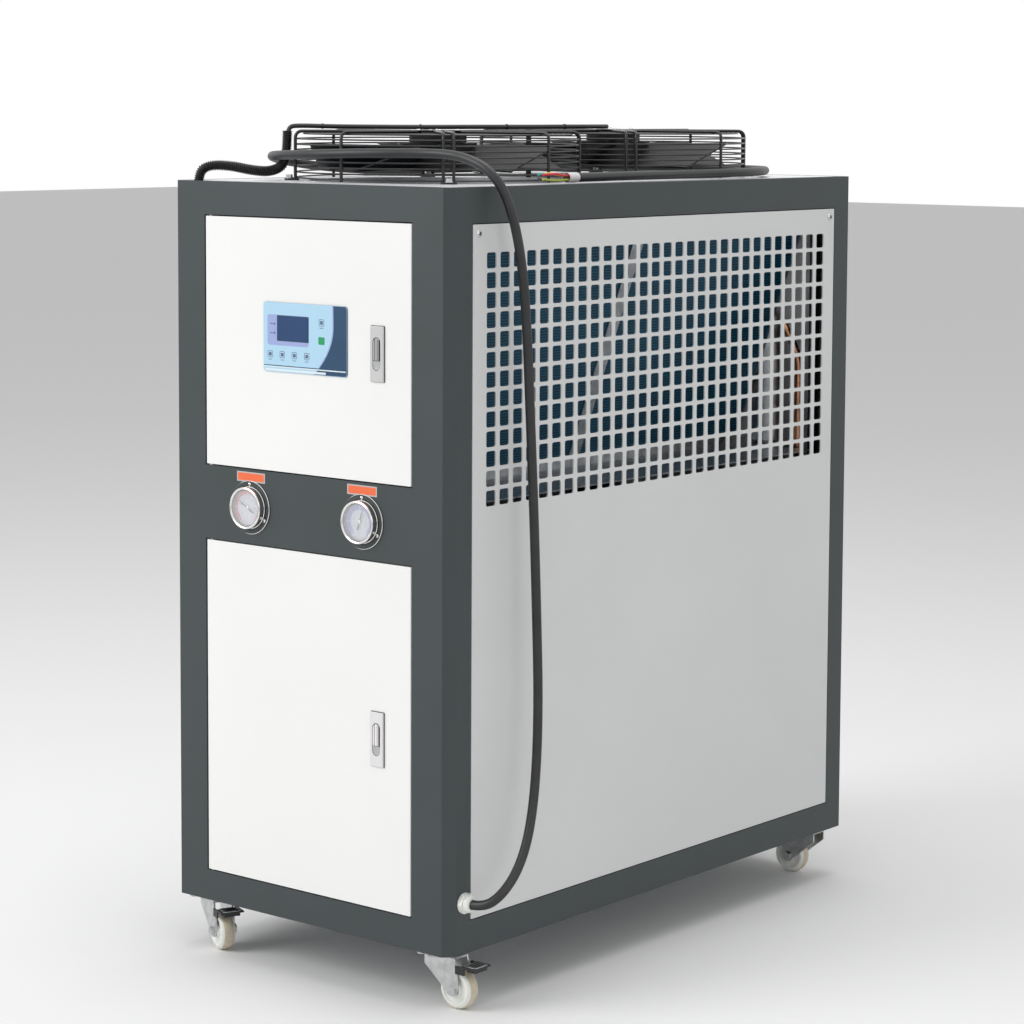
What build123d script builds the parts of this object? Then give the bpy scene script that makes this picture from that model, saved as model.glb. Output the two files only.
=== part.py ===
"""Air-cooled recirculating chiller: a folded-steel cabinet on castors with two roof fans.

Millimetres. X runs to the right as seen from the doors, Y runs to the back and Z up. The origin is on the
floor under the middle of the cabinet.
"""
import os
from math import cos, pi, radians, sin, sqrt, tan

from build123d import *

# Cabinet
CABINET_WIDTH = 560.0
CABINET_DEPTH = 1030.0
CABINET_HEIGHT = 1100.0
SHEET = 2.0
CORNER_CHAMFER = 15.0
TOP_RIM = 20.0
TOP_LIP = 15.0
BOTTOM_FLANGE = 110.0
BASE_PAN_THICKNESS = 3.0

# Doors
FRONT_POST_WIDTH = 72.0
DOOR_TOP_RAIL = 50.0
DOOR_BOTTOM_RAIL = 47.0
GAUGE_BAND_ABOVE = 57.0
GAUGE_BAND_BELOW = 55.0
DOOR_GAP = 2.0
DOOR_TRAY = 18.0
DOOR_STOP_GAP = 2.0
DOOR_STOP_LIP = 8.0
DOOR_EDGE_RADIUS = 3.0
DOOR_PIVOT_INSET = 6.0
DOOR_PIN_RADIUS = 2.5
DOOR_PIN_REACH = 7.0
RUNNING_GAP = 0.05

# Side and rear panels
SIDE_OPENING_FRONT = 46.0
SIDE_OPENING_BACK = 56.0
PANEL_BOTTOM_RAIL = 47.0
PANEL_TOP_RAIL = 51.0
REAR_POST_WIDTH = 60.0
PANEL_GAP = 1.5
PANEL_TRAY = 17.0
PANEL_LIP = 12.0
PANEL_SCREW_INSET = 13.0
SCREW_RADIUS = 2.5
SCREW_HEAD_RADIUS = 5.0
SCREW_HEAD = 2.0

# Air grille punched in the side panels
HOLE_COLUMNS = 29
HOLE_ROWS = 13
HOLE_PITCH_ACROSS = 30.1
HOLE_PITCH_UP = 28.4
HOLE_WIDTH = 20.5
HOLE_HEIGHT = 22.6
GRILLE_TOP_MARGIN = 41.8

# Gauges in the band between the doors
GAUGE_SPACING = 226.0
GAUGE_HEIGHT = 615.0
GAUGE_FLANGE_RADIUS = 40.0
GAUGE_FLANGE_THICKNESS = 1.5
GAUGE_BEZEL_RADIUS = 31.0
GAUGE_BEZEL_DEPTH = 13.0
GAUGE_BEZEL_WALL = 4.0
GAUGE_DIAL_DEPTH = 8.0
GAUGE_CAN_RADIUS = 27.5
GAUGE_CAN_LENGTH = 28.0
GAUGE_HOLE_GAP = 0.5
GAUGE_GLASS = 1.5
GAUGE_NEEDLE_LENGTH = 20.0
GAUGE_NEEDLE_TAIL = 8.0
GAUGE_NEEDLE_THICKNESS = 0.8
GAUGE_NEEDLE_STAND_OFF = 2.0
GAUGE_ARBOR_RADIUS = 1.0
GAUGE_SCREW_CIRCLE = 34.5
GAUGE_SCREW_RADIUS = 2.0
LEFT_NEEDLE_ANGLE = 151.0
RIGHT_NEEDLE_ANGLE = 71.0

# Controller on the upper door
CONTROLLER_WIDTH = 168.0
CONTROLLER_HEIGHT = 103.0
CONTROLLER_THICKNESS = 1.5
CONTROLLER_CORNER = 5.0
CONTROLLER_RISE = 12.5
CONTROLLER_CASE_DEPTH = 19.0
CONTROLLER_CASE_MARGIN = 9.0
DISPLAY_WIDTH = 62.0
DISPLAY_HEIGHT = 36.0
DISPLAY_ACROSS = -24.0
DISPLAY_UP = 13.5
DISPLAY_THICKNESS = 1.0

# Door latches
LATCH_WIDTH = 25.0
LATCH_HEIGHT = 80.0
LATCH_PLATE = 4.0
LATCH_INSET = 65.0
UPPER_LATCH_DROP = 1.0
LOWER_LATCH_DROP = 3.5
LATCH_POCKET_WIDTH = 15.0
LATCH_POCKET_HEIGHT = 48.0
LATCH_POCKET_DEPTH = 7.0
LATCH_BUTTON_HEIGHT = 14.0
LATCH_BUTTON_TRAVEL = 2.5
LATCH_FIT = 0.4
LATCH_BARREL_WIDTH = 19.0
LATCH_BARREL_HEIGHT = 62.0
LATCH_BARREL_DEPTH = 22.5
LATCH_PIVOT_DEPTH = 2.0

# Roof fans
GUARD_END_MARGIN = 75.1
GUARD_GAP = 2.2
GUARD_SEAT = 17.0
FAN_COLLAR_DEPTH = 26.0
GUARD_HEIGHT = 77.0
GUARD_WIRE = 3.4
GUARD_POST_WIRE = 4.4
GUARD_POST_SPREAD = 15.5
GUARD_CHORDS = 24
GUARD_SIDE_RINGS = 4
GUARD_TOP_RINGS = 3
GUARD_LOWEST_RING = 12.0
GUARD_CORNER = 9.0
GUARD_HUB_RADIUS = 46.0
GUARD_HUB_PLATE = 2.5
GUARD_FOOT_LENGTH = 20.0
GUARD_FOOT_WIDTH = 22.0
GUARD_FOOT_PLATE = 2.0
MOTOR_RADIUS = 44.0
MOTOR_LENGTH = 16.0
ROTOR_HUB_RADIUS = 60.0
ROTOR_HUB_LENGTH = 42.0
ROTOR_SHAFT_RADIUS = 7.0
ROTOR_TOP_GAP = 1.5
BLADE_COUNT = 5
BLADE_TIP_GAP = 8.0
BLADE_THICKNESS = 2.6
BLADE_ROOT_CHORD = 62.0
BLADE_TIP_CHORD = 116.0
BLADE_ROOT_PITCH = 33.0
BLADE_TIP_PITCH = 19.0

# Fan wiring
CONDUIT_RADIUS = 8.0
CONDUIT_FIT = 0.3
FAN_LEAD_RADIUS = 3.5

# Condenser coils, leaning outwards like a V under the fans
COIL_THICKNESS = 34.0
COIL_FRONT_GAP = 125.0
COIL_REAR_GAP = 91.0
COIL_ROOF_GAP = 38.0
COIL_DECK_GAP = 23.0
COIL_SIDE_GAP = 44.0
COIL_LEAN = 20.0
COIL_STRUT_WIDTH = 26.0
COIL_STRUT_PLACE = 494.0
COIL_PLATE = 2.0
COIL_CLEARANCE = 0.3
COIL_LEG_THICKNESS = 12.0

# Deck between the air side and the machine room
DECK_OVER_GAUGES = 2.5
DECK_SIDE_GAP = 22.0
DECK_BACK_GAP = 20.0
DECK_NOTCH_WIDTH = 66.0
DECK_NOTCH_DEPTH = 62.0

# Electrical box behind the upper door
BOX_WIDTH = 380.0
BOX_ROOF_GAP = 73.0
BOX_DEPTH = 84.0
BOX_FRONT = 28.0
CONTACTOR_ACROSS = -90.0
CONTACTOR_RISE = 130.0
CONTACTOR_WIDTH = 60.0
CONTACTOR_HEIGHT = 84.0
CONTACTOR_DEPTH = 46.0
BREAKER_ACROSS = 60.0
BREAKER_RISE = 150.0
BREAKER_WIDTH = 54.0
BREAKER_HEIGHT = 80.0
BREAKER_DEPTH = 42.0
SWITCHGEAR_NOSE = 8.0

# Machine room
COMPRESSOR_RADIUS = 86.0
COMPRESSOR_HEIGHT = 300.0
COMPRESSOR_ACROSS = 92.0
COMPRESSOR_BACK = 190.0
COMPRESSOR_DOME = 38.0
COMPRESSOR_FOOT = 22.0
COMPRESSOR_FOOT_PLATE = 5.0
COMPRESSOR_FOOT_HALF = 96.0
COMPRESSOR_GROMMET_RADIUS = 11.0
COMPRESSOR_GROMMET_PLACE = 80.0
TANK_WIDTH = 400.0
TANK_DEPTH = 420.0
TANK_HEIGHT = 440.0
TANK_REAR_GAP = 90.0
TANK_CORNER = 12.0
TANK_LID = 4.0
TANK_LID_RIM = 8.0
PUMP_ACROSS = -120.0
PUMP_BACK = 170.0
PUMP_MOTOR_RADIUS = 52.0
PUMP_MOTOR_LENGTH = 150.0
PUMP_HEAD_RADIUS = 62.0
PUMP_HEAD_LENGTH = 44.0
PUMP_SEAT_HEIGHT = 26.0
PUMP_FOOT_HALF = 45.0
PUMP_FOOT_INSET = 20.0
PUMP_FOOT_DROP = 30.0
PUMP_OUTLET_RADIUS = 14.0
PUMP_OUTLET_RISE = 26.0
RECEIVER_RADIUS = 28.0
RECEIVER_HEIGHT = 226.0
RECEIVER_ACROSS = 150.0
RECEIVER_REAR_GAP = 57.0
RECEIVER_EDGE = 8.0
COPPER_RADIUS = 6.35
RISER_SIDE_GAP = 66.0
RISER_REAR_GAP = 58.0
LINE_RISE = 90.0
LINE_CREST = 140.0
LINE_RUN = 60.0
LINE_SLOPE = 10.0
LINE_TURN = 40.0
COIL_INLET_RISE = 155.0
COIL_INLET_TURN = 50.0
COIL_INLET_LIFT = 12.0

# Water connections on the rear panel
CONNECTOR_BORE = 12.5
CONNECTOR_OUTER = 16.7
CONNECTOR_FLANGE = 27.0
CONNECTOR_FLANGE_THICKNESS = 5.0
CONNECTOR_REACH = 24.0
CONNECTOR_INSIDE = 30.0
CONNECTOR_HEIGHT = 330.0
CONNECTOR_SPACING = 160.0
DRAIN_HEIGHT = 96.0
DRAIN_BORE = 6.5
DRAIN_OUTER = 10.0
VALVE_LEVER_LENGTH = 44.0
VALVE_LEVER_THICKNESS = 4.0
VALVE_STEM_RADIUS = 3.0
WATER_PIPE_WALL = 2.0

# Castors
CASTOR_HEIGHT = 85.0
CASTOR_INSET_ACROSS = 46.0
CASTOR_INSET_BACK = 44.0
CASTOR_PLATE_LENGTH = 72.0
CASTOR_PLATE_WIDTH = 62.0
CASTOR_PLATE = 3.0
CASTOR_PLATE_CORNER = 6.0
CASTOR_RACE_RADIUS = 25.0
CASTOR_RACE = 5.0
CASTOR_RACE_GAP = 0.3
CASTOR_KINGPIN_RADIUS = 5.0
CASTOR_TRAIL = 28.0
WHEEL_RADIUS = 30.0
WHEEL_WIDTH = 24.0
WHEEL_HUB_PROUD = 1.0
WHEEL_EDGE = 5.0
AXLE_RADIUS = 4.0
FORK_PLATE = 2.5
FORK_SIDE_GAP = 0.5
FORK_EYE_RADIUS = 10.0
AXLE_HEAD_ACROSS = 13.0
AXLE_HEAD = 5.0
PEDAL_WIDTH = 34.0
PEDAL_LENGTH = 24.0
PEDAL_PLATE = 2.5
PEDAL_PIN_RADIUS = 2.0
PEDAL_PIN_OUT = 24.0
PEDAL_PIN_DOWN = 17.0
BOLT_ACROSS = 10.0
BOLT_HEAD = 4.0
BOLT_SPACING_LONG = 54.0
BOLT_SPACING_WIDE = 44.0

# Power cord
CORD_RADIUS = 7.0
CORE_RADIUS = 1.7
CORE_GAP = 0.4
GLAND_UP = 75.7
GLAND_BACK = 32.3
GLAND_NUT_ACROSS = 27.0
GLAND_NUT = 7.0
GLAND_DOME_RADIUS = 11.5
GLAND_DOME = 9.0
GLAND_DOME_EDGE = 2.5
GLAND_THREAD_RADIUS = 9.0
GLAND_INSIDE = 12.0

# Places worked out from the sizes above
HALF_WIDTH = CABINET_WIDTH / 2
HALF_DEPTH = CABINET_DEPTH / 2
FRONT = -HALF_DEPTH
BACK = HALF_DEPTH
BASE = CASTOR_HEIGHT
ROOF = BASE + CABINET_HEIGHT
DOOR_OPENING_WIDTH = CABINET_WIDTH - 2 * FRONT_POST_WIDTH
REAR_OPENING_WIDTH = CABINET_WIDTH - 2 * REAR_POST_WIDTH
UPPER_DOOR_LOW = GAUGE_HEIGHT + GAUGE_BAND_ABOVE
UPPER_DOOR_HIGH = CABINET_HEIGHT - DOOR_TOP_RAIL
LOWER_DOOR_LOW = DOOR_BOTTOM_RAIL
LOWER_DOOR_HIGH = GAUGE_HEIGHT - GAUGE_BAND_BELOW
PANEL_LOW = PANEL_BOTTOM_RAIL
PANEL_HIGH = CABINET_HEIGHT - PANEL_TOP_RAIL
CONTROLLER_CENTRE_UP = (UPPER_DOOR_LOW + UPPER_DOOR_HIGH) / 2 + CONTROLLER_RISE
LATCH_ACROSS = DOOR_OPENING_WIDTH / 2 - LATCH_INSET
UPPER_LATCH_UP = (UPPER_DOOR_LOW + UPPER_DOOR_HIGH) / 2 - UPPER_LATCH_DROP
LOWER_LATCH_UP = (LOWER_DOOR_LOW + LOWER_DOOR_HIGH) / 2 - LOWER_LATCH_DROP
GUARD_OUTER_RADIUS = (HALF_DEPTH - GUARD_END_MARGIN - GUARD_GAP / 2) / 2
GUARD_RADIUS = GUARD_OUTER_RADIUS - GUARD_POST_WIRE
FAN_OPENING_RADIUS = GUARD_RADIUS - GUARD_SEAT
BLADE_TIP_RADIUS = FAN_OPENING_RADIUS - BLADE_TIP_GAP
FAN_PLACES = (-GUARD_OUTER_RADIUS - GUARD_GAP / 2, GUARD_OUTER_RADIUS + GUARD_GAP / 2)
DECK_HEIGHT = GAUGE_HEIGHT + GAUGE_CAN_RADIUS + DECK_OVER_GAUGES
DECK_WIDTH = CABINET_WIDTH - 2 * DECK_SIDE_GAP
BOX_HEIGHT = CABINET_HEIGHT - BOX_ROOF_GAP - DECK_HEIGHT - SHEET
COIL_LENGTH = CABINET_DEPTH - COIL_FRONT_GAP - COIL_REAR_GAP
COIL_BACK = BACK - COIL_REAR_GAP
COIL_TOP = CABINET_HEIGHT - COIL_ROOF_GAP
COIL_BOTTOM = DECK_HEIGHT + COIL_DECK_GAP
COIL_TOP_ACROSS = HALF_WIDTH - COIL_SIDE_GAP
TANK_REAR = BACK - TANK_REAR_GAP
RISER_ACROSS = HALF_WIDTH - RISER_SIDE_GAP
RISER_PLACE = BACK - RISER_REAR_GAP
SIDE_LOW = FRONT + SIDE_OPENING_FRONT
SIDE_HIGH = BACK - SIDE_OPENING_BACK

CASTORS = {
    "front_right": (1, -1, 0.0, True),
    "front_left": (-1, -1, -24.0, True),
    "rear_right": (1, 1, 180.0, False),
    "rear_left": (-1, 1, 166.0, False),
}


def block(x0, x1, y0, y1, z0, z1):
    """A box between two corners."""
    return Pos((x0 + x1) / 2, (y0 + y1) / 2, (z0 + z1) / 2) * Box(x1 - x0, y1 - y0, z1 - z0)


def drum(radius, length, start, direction):
    """A round bar that starts at a point and runs along a direction."""
    plane = Plane(origin=start, z_dir=direction)
    return plane * Cylinder(radius, length, align=(Align.CENTER, Align.CENTER, Align.MIN))


def turned(profile):
    """A round body turned about Z from its radii and heights."""
    face = make_face(Polyline(*[(radius, 0, height) for radius, height in profile], close=True))
    return revolve(face, Axis.Z, 360)


def ring_of_sheet(plane, width, height, wall, depth):
    """A rectangular wall that stands round an opening of width by height."""
    outer = Rectangle(width + 2 * wall, height + 2 * wall)
    return extrude(plane * (outer - Rectangle(width, height)), depth)


def tube_along(points, radius, shares=0.45):
    """A plain round tube along straight runs joined by tangent arcs, and the radii of its arcs."""
    corners = [Vector(*p) for p in points]
    radii = []
    for before, here, after in zip(corners, corners[1:], corners[2:]):
        run = min((here - before).length, (after - here).length)
        turn = (here - before).get_angle(after - here)
        radii.append(shares * run / tan(radians(turn) / 2))
    route = FilletPolyline(*corners, radius=radii)
    section = Plane(origin=corners[0], z_dir=corners[1] - corners[0]) * Circle(radius)
    return sweep(section, path=route), radii, route.length


def chamfered_block(inset, low, high):
    """The cabinet's outline, drawn in by inset, between two heights above the floor."""
    chamfer_length = CORNER_CHAMFER - inset * (2 - sqrt(2))
    body = block(-HALF_WIDTH + inset, HALF_WIDTH - inset, -HALF_DEPTH + inset, HALF_DEPTH - inset, low, high)
    return chamfer(body.edges().filter_by(Axis.Z), chamfer_length)


def door_plane(low, high, depth_from_front):
    """A plane on a door opening's middle, facing backwards."""
    centre = (0, FRONT + depth_from_front, BASE + (low + high) / 2)
    return Plane(origin=centre, x_dir=(1, 0, 0), z_dir=(0, 1, 0))


def side_plane(side, depth_from_face):
    """A plane on a side opening's middle, facing into the cabinet."""
    middle = (SIDE_LOW + SIDE_HIGH) / 2
    centre = (side * (HALF_WIDTH - depth_from_face), middle, BASE + (PANEL_LOW + PANEL_HIGH) / 2)
    return Plane(origin=centre, x_dir=(0, 1, 0), z_dir=(-side, 0, 0))


def rear_plane(depth_from_face):
    """A plane on the rear opening's middle, facing into the cabinet."""
    centre = (0, BACK - depth_from_face, BASE + (PANEL_LOW + PANEL_HIGH) / 2)
    return Plane(origin=centre, x_dir=(1, 0, 0), z_dir=(0, -1, 0))


def jamb(plane_at, width, height, seat, lip):
    """The folded wall round an opening and the lip at its inner end that a panel or door stops on."""
    wall = ring_of_sheet(plane_at(SHEET), width, height, SHEET, seat)
    frame = Rectangle(width + 2 * SHEET, height + 2 * SHEET) - Rectangle(width - 2 * lip, height - 2 * lip)
    return wall + extrude(plane_at(seat) * frame, SHEET)


def opening(plane_at, width, height):
    """The hole that an opening cuts through the cabinet's skin."""
    return extrude(plane_at(-1.0) * Rectangle(width, height), SHEET + 2.0)


def cabinet_frame():
    """The welded steel frame: posts, rails and gauge band, with folded seats round every opening."""
    shell = chamfered_block(0, BASE, ROOF) - chamfered_block(SHEET, BASE + SHEET, ROOF - SHEET)
    top_x, top_y = HALF_WIDTH - TOP_RIM, HALF_DEPTH - TOP_RIM
    shell -= block(-top_x, top_x, -top_y, top_y, ROOF - 2 * SHEET, ROOF + 1)
    low_x, low_y = HALF_WIDTH - BOTTOM_FLANGE, HALF_DEPTH - BOTTOM_FLANGE
    shell -= block(-low_x, low_x, -low_y, low_y, BASE - 1, BASE + SHEET + 1)
    top_plane = Plane(origin=(0, 0, ROOF - SHEET), x_dir=(1, 0, 0), z_dir=(0, 0, -1))
    shell += ring_of_sheet(top_plane, 2 * top_x, 2 * top_y, SHEET, SHEET)
    lip_plane = Plane(origin=(0, 0, ROOF - SHEET), x_dir=(1, 0, 0), z_dir=(0, 0, -1))
    inner = Rectangle(2 * (top_x - TOP_LIP), 2 * (top_y - TOP_LIP))
    shell += extrude(lip_plane * (Rectangle(2 * (top_x + SHEET), 2 * (top_y + SHEET)) - inner), SHEET)

    for low, high in ((UPPER_DOOR_LOW, UPPER_DOOR_HIGH), (LOWER_DOOR_LOW, LOWER_DOOR_HIGH)):
        at = lambda depth, low=low, high=high: door_plane(low, high, depth)
        shell -= opening(at, DOOR_OPENING_WIDTH, high - low)
        shell += jamb(at, DOOR_OPENING_WIDTH, high - low, DOOR_TRAY + DOOR_STOP_GAP, DOOR_STOP_LIP)
    for side in (-1, 1):
        at = lambda depth, side=side: side_plane(side, depth)
        shell -= opening(at, SIDE_HIGH - SIDE_LOW, PANEL_HIGH - PANEL_LOW)
        shell += jamb(at, SIDE_HIGH - SIDE_LOW, PANEL_HIGH - PANEL_LOW, PANEL_TRAY, PANEL_LIP)
    shell -= opening(rear_plane, REAR_OPENING_WIDTH, PANEL_HIGH - PANEL_LOW)
    shell += jamb(rear_plane, REAR_OPENING_WIDTH, PANEL_HIGH - PANEL_LOW, PANEL_TRAY, PANEL_LIP)

    for across in (-GAUGE_SPACING / 2, GAUGE_SPACING / 2):
        start = (across, FRONT - 1, BASE + GAUGE_HEIGHT)
        shell -= drum(GAUGE_CAN_RADIUS + GAUGE_HOLE_GAP, SHEET + 2, start, (0, 1, 0))
    gland_start = (HALF_WIDTH + 1, FRONT + GLAND_BACK, BASE + GLAND_UP)
    shell -= drum(GLAND_THREAD_RADIUS + RUNNING_GAP, SHEET + 2, gland_start, (-1, 0, 0))
    return shell - conduit_hole()


def conduit_hole():
    """What the fan conduit takes out of the roof and of the frame's rim beside it."""
    x, y, _ = CONDUIT_POINTS[0]
    return drum(CONDUIT_RADIUS + CONDUIT_FIT, 4 * SHEET, (x, y, ROOF + 1), (0, 0, -1))


def base_pan():
    """The floor sheet inside the cabinet, lying on the frame's bottom flange."""
    return chamfered_block(SHEET + 0.5, BASE + SHEET, BASE + SHEET + BASE_PAN_THICKNESS)


def roof_panel():
    """The pale roof sheet with two round openings, each with a drawn collar for its fan."""
    half_x = HALF_WIDTH - TOP_RIM - PANEL_GAP / 2
    half_y = HALF_DEPTH - TOP_RIM - PANEL_GAP / 2
    sheet = block(-half_x, half_x, -half_y, half_y, ROOF - SHEET, ROOF)
    for place in FAN_PLACES:
        top = (0, place, ROOF)
        sheet += drum(FAN_OPENING_RADIUS + SHEET, FAN_COLLAR_DEPTH, top, (0, 0, -1))
        sheet -= drum(FAN_OPENING_RADIUS, FAN_COLLAR_DEPTH + 2, (0, place, ROOF + 1), (0, 0, -1))
    return sheet - conduit_hole()


def tray(plane, width, height, depth):
    """A sheet panel with its four edges folded back, its face on the plane."""
    body = extrude(plane * Rectangle(width, height), depth)
    inside = extrude(plane.offset(SHEET) * Rectangle(width - 2 * SHEET, height - 2 * SHEET), depth)
    return body - inside


def side_panel(side):
    """A side panel with its punched air grille."""
    width = SIDE_HIGH - SIDE_LOW - 2 * PANEL_GAP
    height = PANEL_HIGH - PANEL_LOW - 2 * PANEL_GAP
    panel = tray(side_plane(side, 0), width, height, PANEL_TRAY)
    field_height = HOLE_ROWS * HOLE_PITCH_UP
    field_top = height / 2 + PANEL_GAP - GRILLE_TOP_MARGIN + (HOLE_PITCH_UP - HOLE_HEIGHT) / 2
    middle = side_plane(side, -1.0)
    up = 1 if middle.y_dir.Z > 0 else -1
    field = middle * Pos(0, up * (field_top - field_height / 2))
    hole = Pos(0, 0, SHEET) * Box(HOLE_WIDTH, HOLE_HEIGHT, 2 * SHEET + 2)
    spots = GridLocations(HOLE_PITCH_ACROSS, HOLE_PITCH_UP, HOLE_COLUMNS, HOLE_ROWS)
    panel = panel.cut(*[field * spot * hole for spot in spots])
    for end in (-1, 1):
        y = (SIDE_LOW + SIDE_HIGH) / 2 + end * (width / 2 - PANEL_SCREW_INSET)
        start = (side * (HALF_WIDTH + 1), y, BASE + PANEL_HIGH - PANEL_GAP - PANEL_SCREW_INSET)
        panel -= drum(SCREW_RADIUS + RUNNING_GAP, SHEET + 2, start, (-side, 0, 0))
    return panel


def panel_screws():
    """The two screws at the top of each side panel."""
    width = SIDE_HIGH - SIDE_LOW - 2 * PANEL_GAP
    screws = []
    for side in (-1, 1):
        for end in (-1, 1):
            y = (SIDE_LOW + SIDE_HIGH) / 2 + end * (width / 2 - PANEL_SCREW_INSET)
            z = BASE + PANEL_HIGH - PANEL_GAP - PANEL_SCREW_INSET
            head = drum(SCREW_HEAD_RADIUS, SCREW_HEAD, (side * HALF_WIDTH, y, z), (side, 0, 0))
            shank = drum(SCREW_RADIUS, PANEL_TRAY - SHEET, (side * HALF_WIDTH, y, z), (-side, 0, 0))
            screws.append(head + shank)
    return screws


def rear_panel():
    """The rear panel with holes for the water connections and the drain."""
    width = REAR_OPENING_WIDTH - 2 * PANEL_GAP
    height = PANEL_HIGH - PANEL_LOW - 2 * PANEL_GAP
    panel = tray(rear_plane(0), width, height, PANEL_TRAY)
    for x, z, radius in connector_places():
        panel -= drum(radius + RUNNING_GAP, SHEET + 2, (x, BACK + 1, z), (0, -1, 0))
    return panel


def connector_places():
    """Across, height and outer radius of the inlet, the outlet and the drain."""
    half = CONNECTOR_SPACING / 2
    return (
        (-half, BASE + CONNECTOR_HEIGHT, CONNECTOR_OUTER),
        (half, BASE + CONNECTOR_HEIGHT, CONNECTOR_OUTER),
        (0, BASE + DRAIN_HEIGHT, DRAIN_OUTER),
    )


def connector(x, z, outer, bore):
    """A pipe connector through the rear panel: a threaded stub with a flange that seats on the sheet."""
    inside = CONNECTOR_INSIDE + SHEET
    stub = drum(outer, CONNECTOR_REACH + inside, (x, BACK + CONNECTOR_REACH, z), (0, -1, 0))
    flange_radius = outer + CONNECTOR_FLANGE - CONNECTOR_OUTER
    flange = drum(flange_radius, CONNECTOR_FLANGE_THICKNESS, (x, BACK, z), (0, 1, 0))
    body = stub + flange
    return body - drum(bore, CONNECTOR_REACH + inside + 2, (x, BACK + CONNECTOR_REACH + 1, z), (0, -1, 0))


def drain_valve():
    """The drain's body with its upright stem."""
    x, z, outer = connector_places()[2]
    body = connector(x, z, outer, DRAIN_BORE)
    stem_y = BACK + (CONNECTOR_REACH + CONNECTOR_FLANGE_THICKNESS) / 2 + 1
    stem = drum(VALVE_STEM_RADIUS, outer + 9, (x, stem_y, z), (0, 0, 1))
    bore = drum(DRAIN_BORE, CONNECTOR_REACH + 2, (x, BACK + CONNECTOR_REACH + 1, z), (0, -1, 0))
    return body + (stem - bore)


def drain_lever():
    """The drain's handle, which turns a quarter round the stem."""
    x, z, outer = connector_places()[2]
    stem_y = BACK + (CONNECTOR_REACH + CONNECTOR_FLANGE_THICKNESS) / 2 + 1
    low = z + outer + 2
    half_width = VALVE_STEM_RADIUS + 3
    back, front = stem_y - half_width, stem_y + half_width
    arm = block(x - half_width, x + VALVE_LEVER_LENGTH, back, front, low, low + VALVE_LEVER_THICKNESS)
    arm = fillet(arm.edges().filter_by(Axis.Z), half_width - 1)
    return arm - drum(VALVE_STEM_RADIUS + RUNNING_GAP, 8, (x, stem_y, low - 1), (0, 0, 1))


def door(low, high, latch_up):
    """A door: a folded tray with a pin hole top and bottom near its hinge edge and a slot for the latch."""
    width = DOOR_OPENING_WIDTH - 2 * DOOR_GAP
    height = high - low - 2 * DOOR_GAP
    body = tray(door_plane(low, high, 0), width, height, DOOR_TRAY)
    front_edges = body.edges().filter_by(Axis.Z).group_by(Axis.Y)[0]
    body = fillet(front_edges, DOOR_EDGE_RADIUS - SHEET / 2)
    x, y = hinge_axis()
    for z in (BASE + low + DOOR_GAP - 1, BASE + high - DOOR_GAP - SHEET - 1):
        body -= drum(DOOR_PIN_RADIUS + RUNNING_GAP, SHEET + 2, (x, y, z), (0, 0, 1))
    slot_size = (LATCH_BARREL_WIDTH + 2 * RUNNING_GAP, LATCH_BARREL_HEIGHT + 2 * RUNNING_GAP)
    return body - extrude(latch_plane(latch_up, 1) * Rectangle(*slot_size), -SHEET - 2)


def hinge_axis():
    """Where the doors' hinge axis stands."""
    x = -DOOR_OPENING_WIDTH / 2 + DOOR_GAP + DOOR_PIVOT_INSET
    return x, FRONT + DOOR_PIVOT_INSET


def door_pins(low, high):
    """The two pins that a door hangs on, welded in the frame's jamb above and below it."""
    x, y = hinge_axis()
    bottom = drum(DOOR_PIN_RADIUS, DOOR_PIN_REACH, (x, y, BASE + low), (0, 0, 1))
    top = drum(DOOR_PIN_RADIUS, DOOR_PIN_REACH, (x, y, BASE + high), (0, 0, -1))
    collar_height = DOOR_GAP - 0.3
    bottom += drum(DOOR_PIN_RADIUS + 1.5, collar_height, (x, y, BASE + low), (0, 0, 1))
    return [bottom, top]


def stadium(width, height):
    """An upright slot with round ends."""
    return Rot(0, 0, 90) * SlotOverall(height, width)


def latch_plane(up, out):
    """A plane on a latch's middle, facing out of the door."""
    centre = (LATCH_ACROSS, FRONT - out, BASE + up)
    return Plane(origin=centre, x_dir=(1, 0, 0), z_dir=(0, -1, 0))


def latch_body(up):
    """A latch's face plate with its long pocket, and the barrel behind it that goes through the door."""
    plate = extrude(latch_plane(up, 0) * Rectangle(LATCH_WIDTH, LATCH_HEIGHT), LATCH_PLATE)
    plate = chamfer(plate.faces().sort_by(Axis.Y)[0].edges(), 0.8)
    barrel_face = latch_plane(up, 0) * Rectangle(LATCH_BARREL_WIDTH, LATCH_BARREL_HEIGHT)
    barrel = extrude(barrel_face, -LATCH_BARREL_DEPTH)
    pocket = latch_plane(up, LATCH_PLATE + 1) * stadium(LATCH_POCKET_WIDTH, LATCH_POCKET_HEIGHT)
    return plate + barrel - extrude(pocket, -(LATCH_POCKET_DEPTH + 1))


def latch_infill(up):
    """The solid that fills the pocket, less its running gap, before it is parted into lever and button."""
    face = latch_plane(up, LATCH_PLATE) * stadium(
        LATCH_POCKET_WIDTH - 2 * LATCH_FIT, LATCH_POCKET_HEIGHT - 2 * LATCH_FIT
    )
    return extrude(face, -(LATCH_POCKET_DEPTH - LATCH_FIT))


def latch_split(up):
    """The height at which lever and button part."""
    return BASE + up - LATCH_POCKET_HEIGHT / 2 + LATCH_BUTTON_HEIGHT


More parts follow.
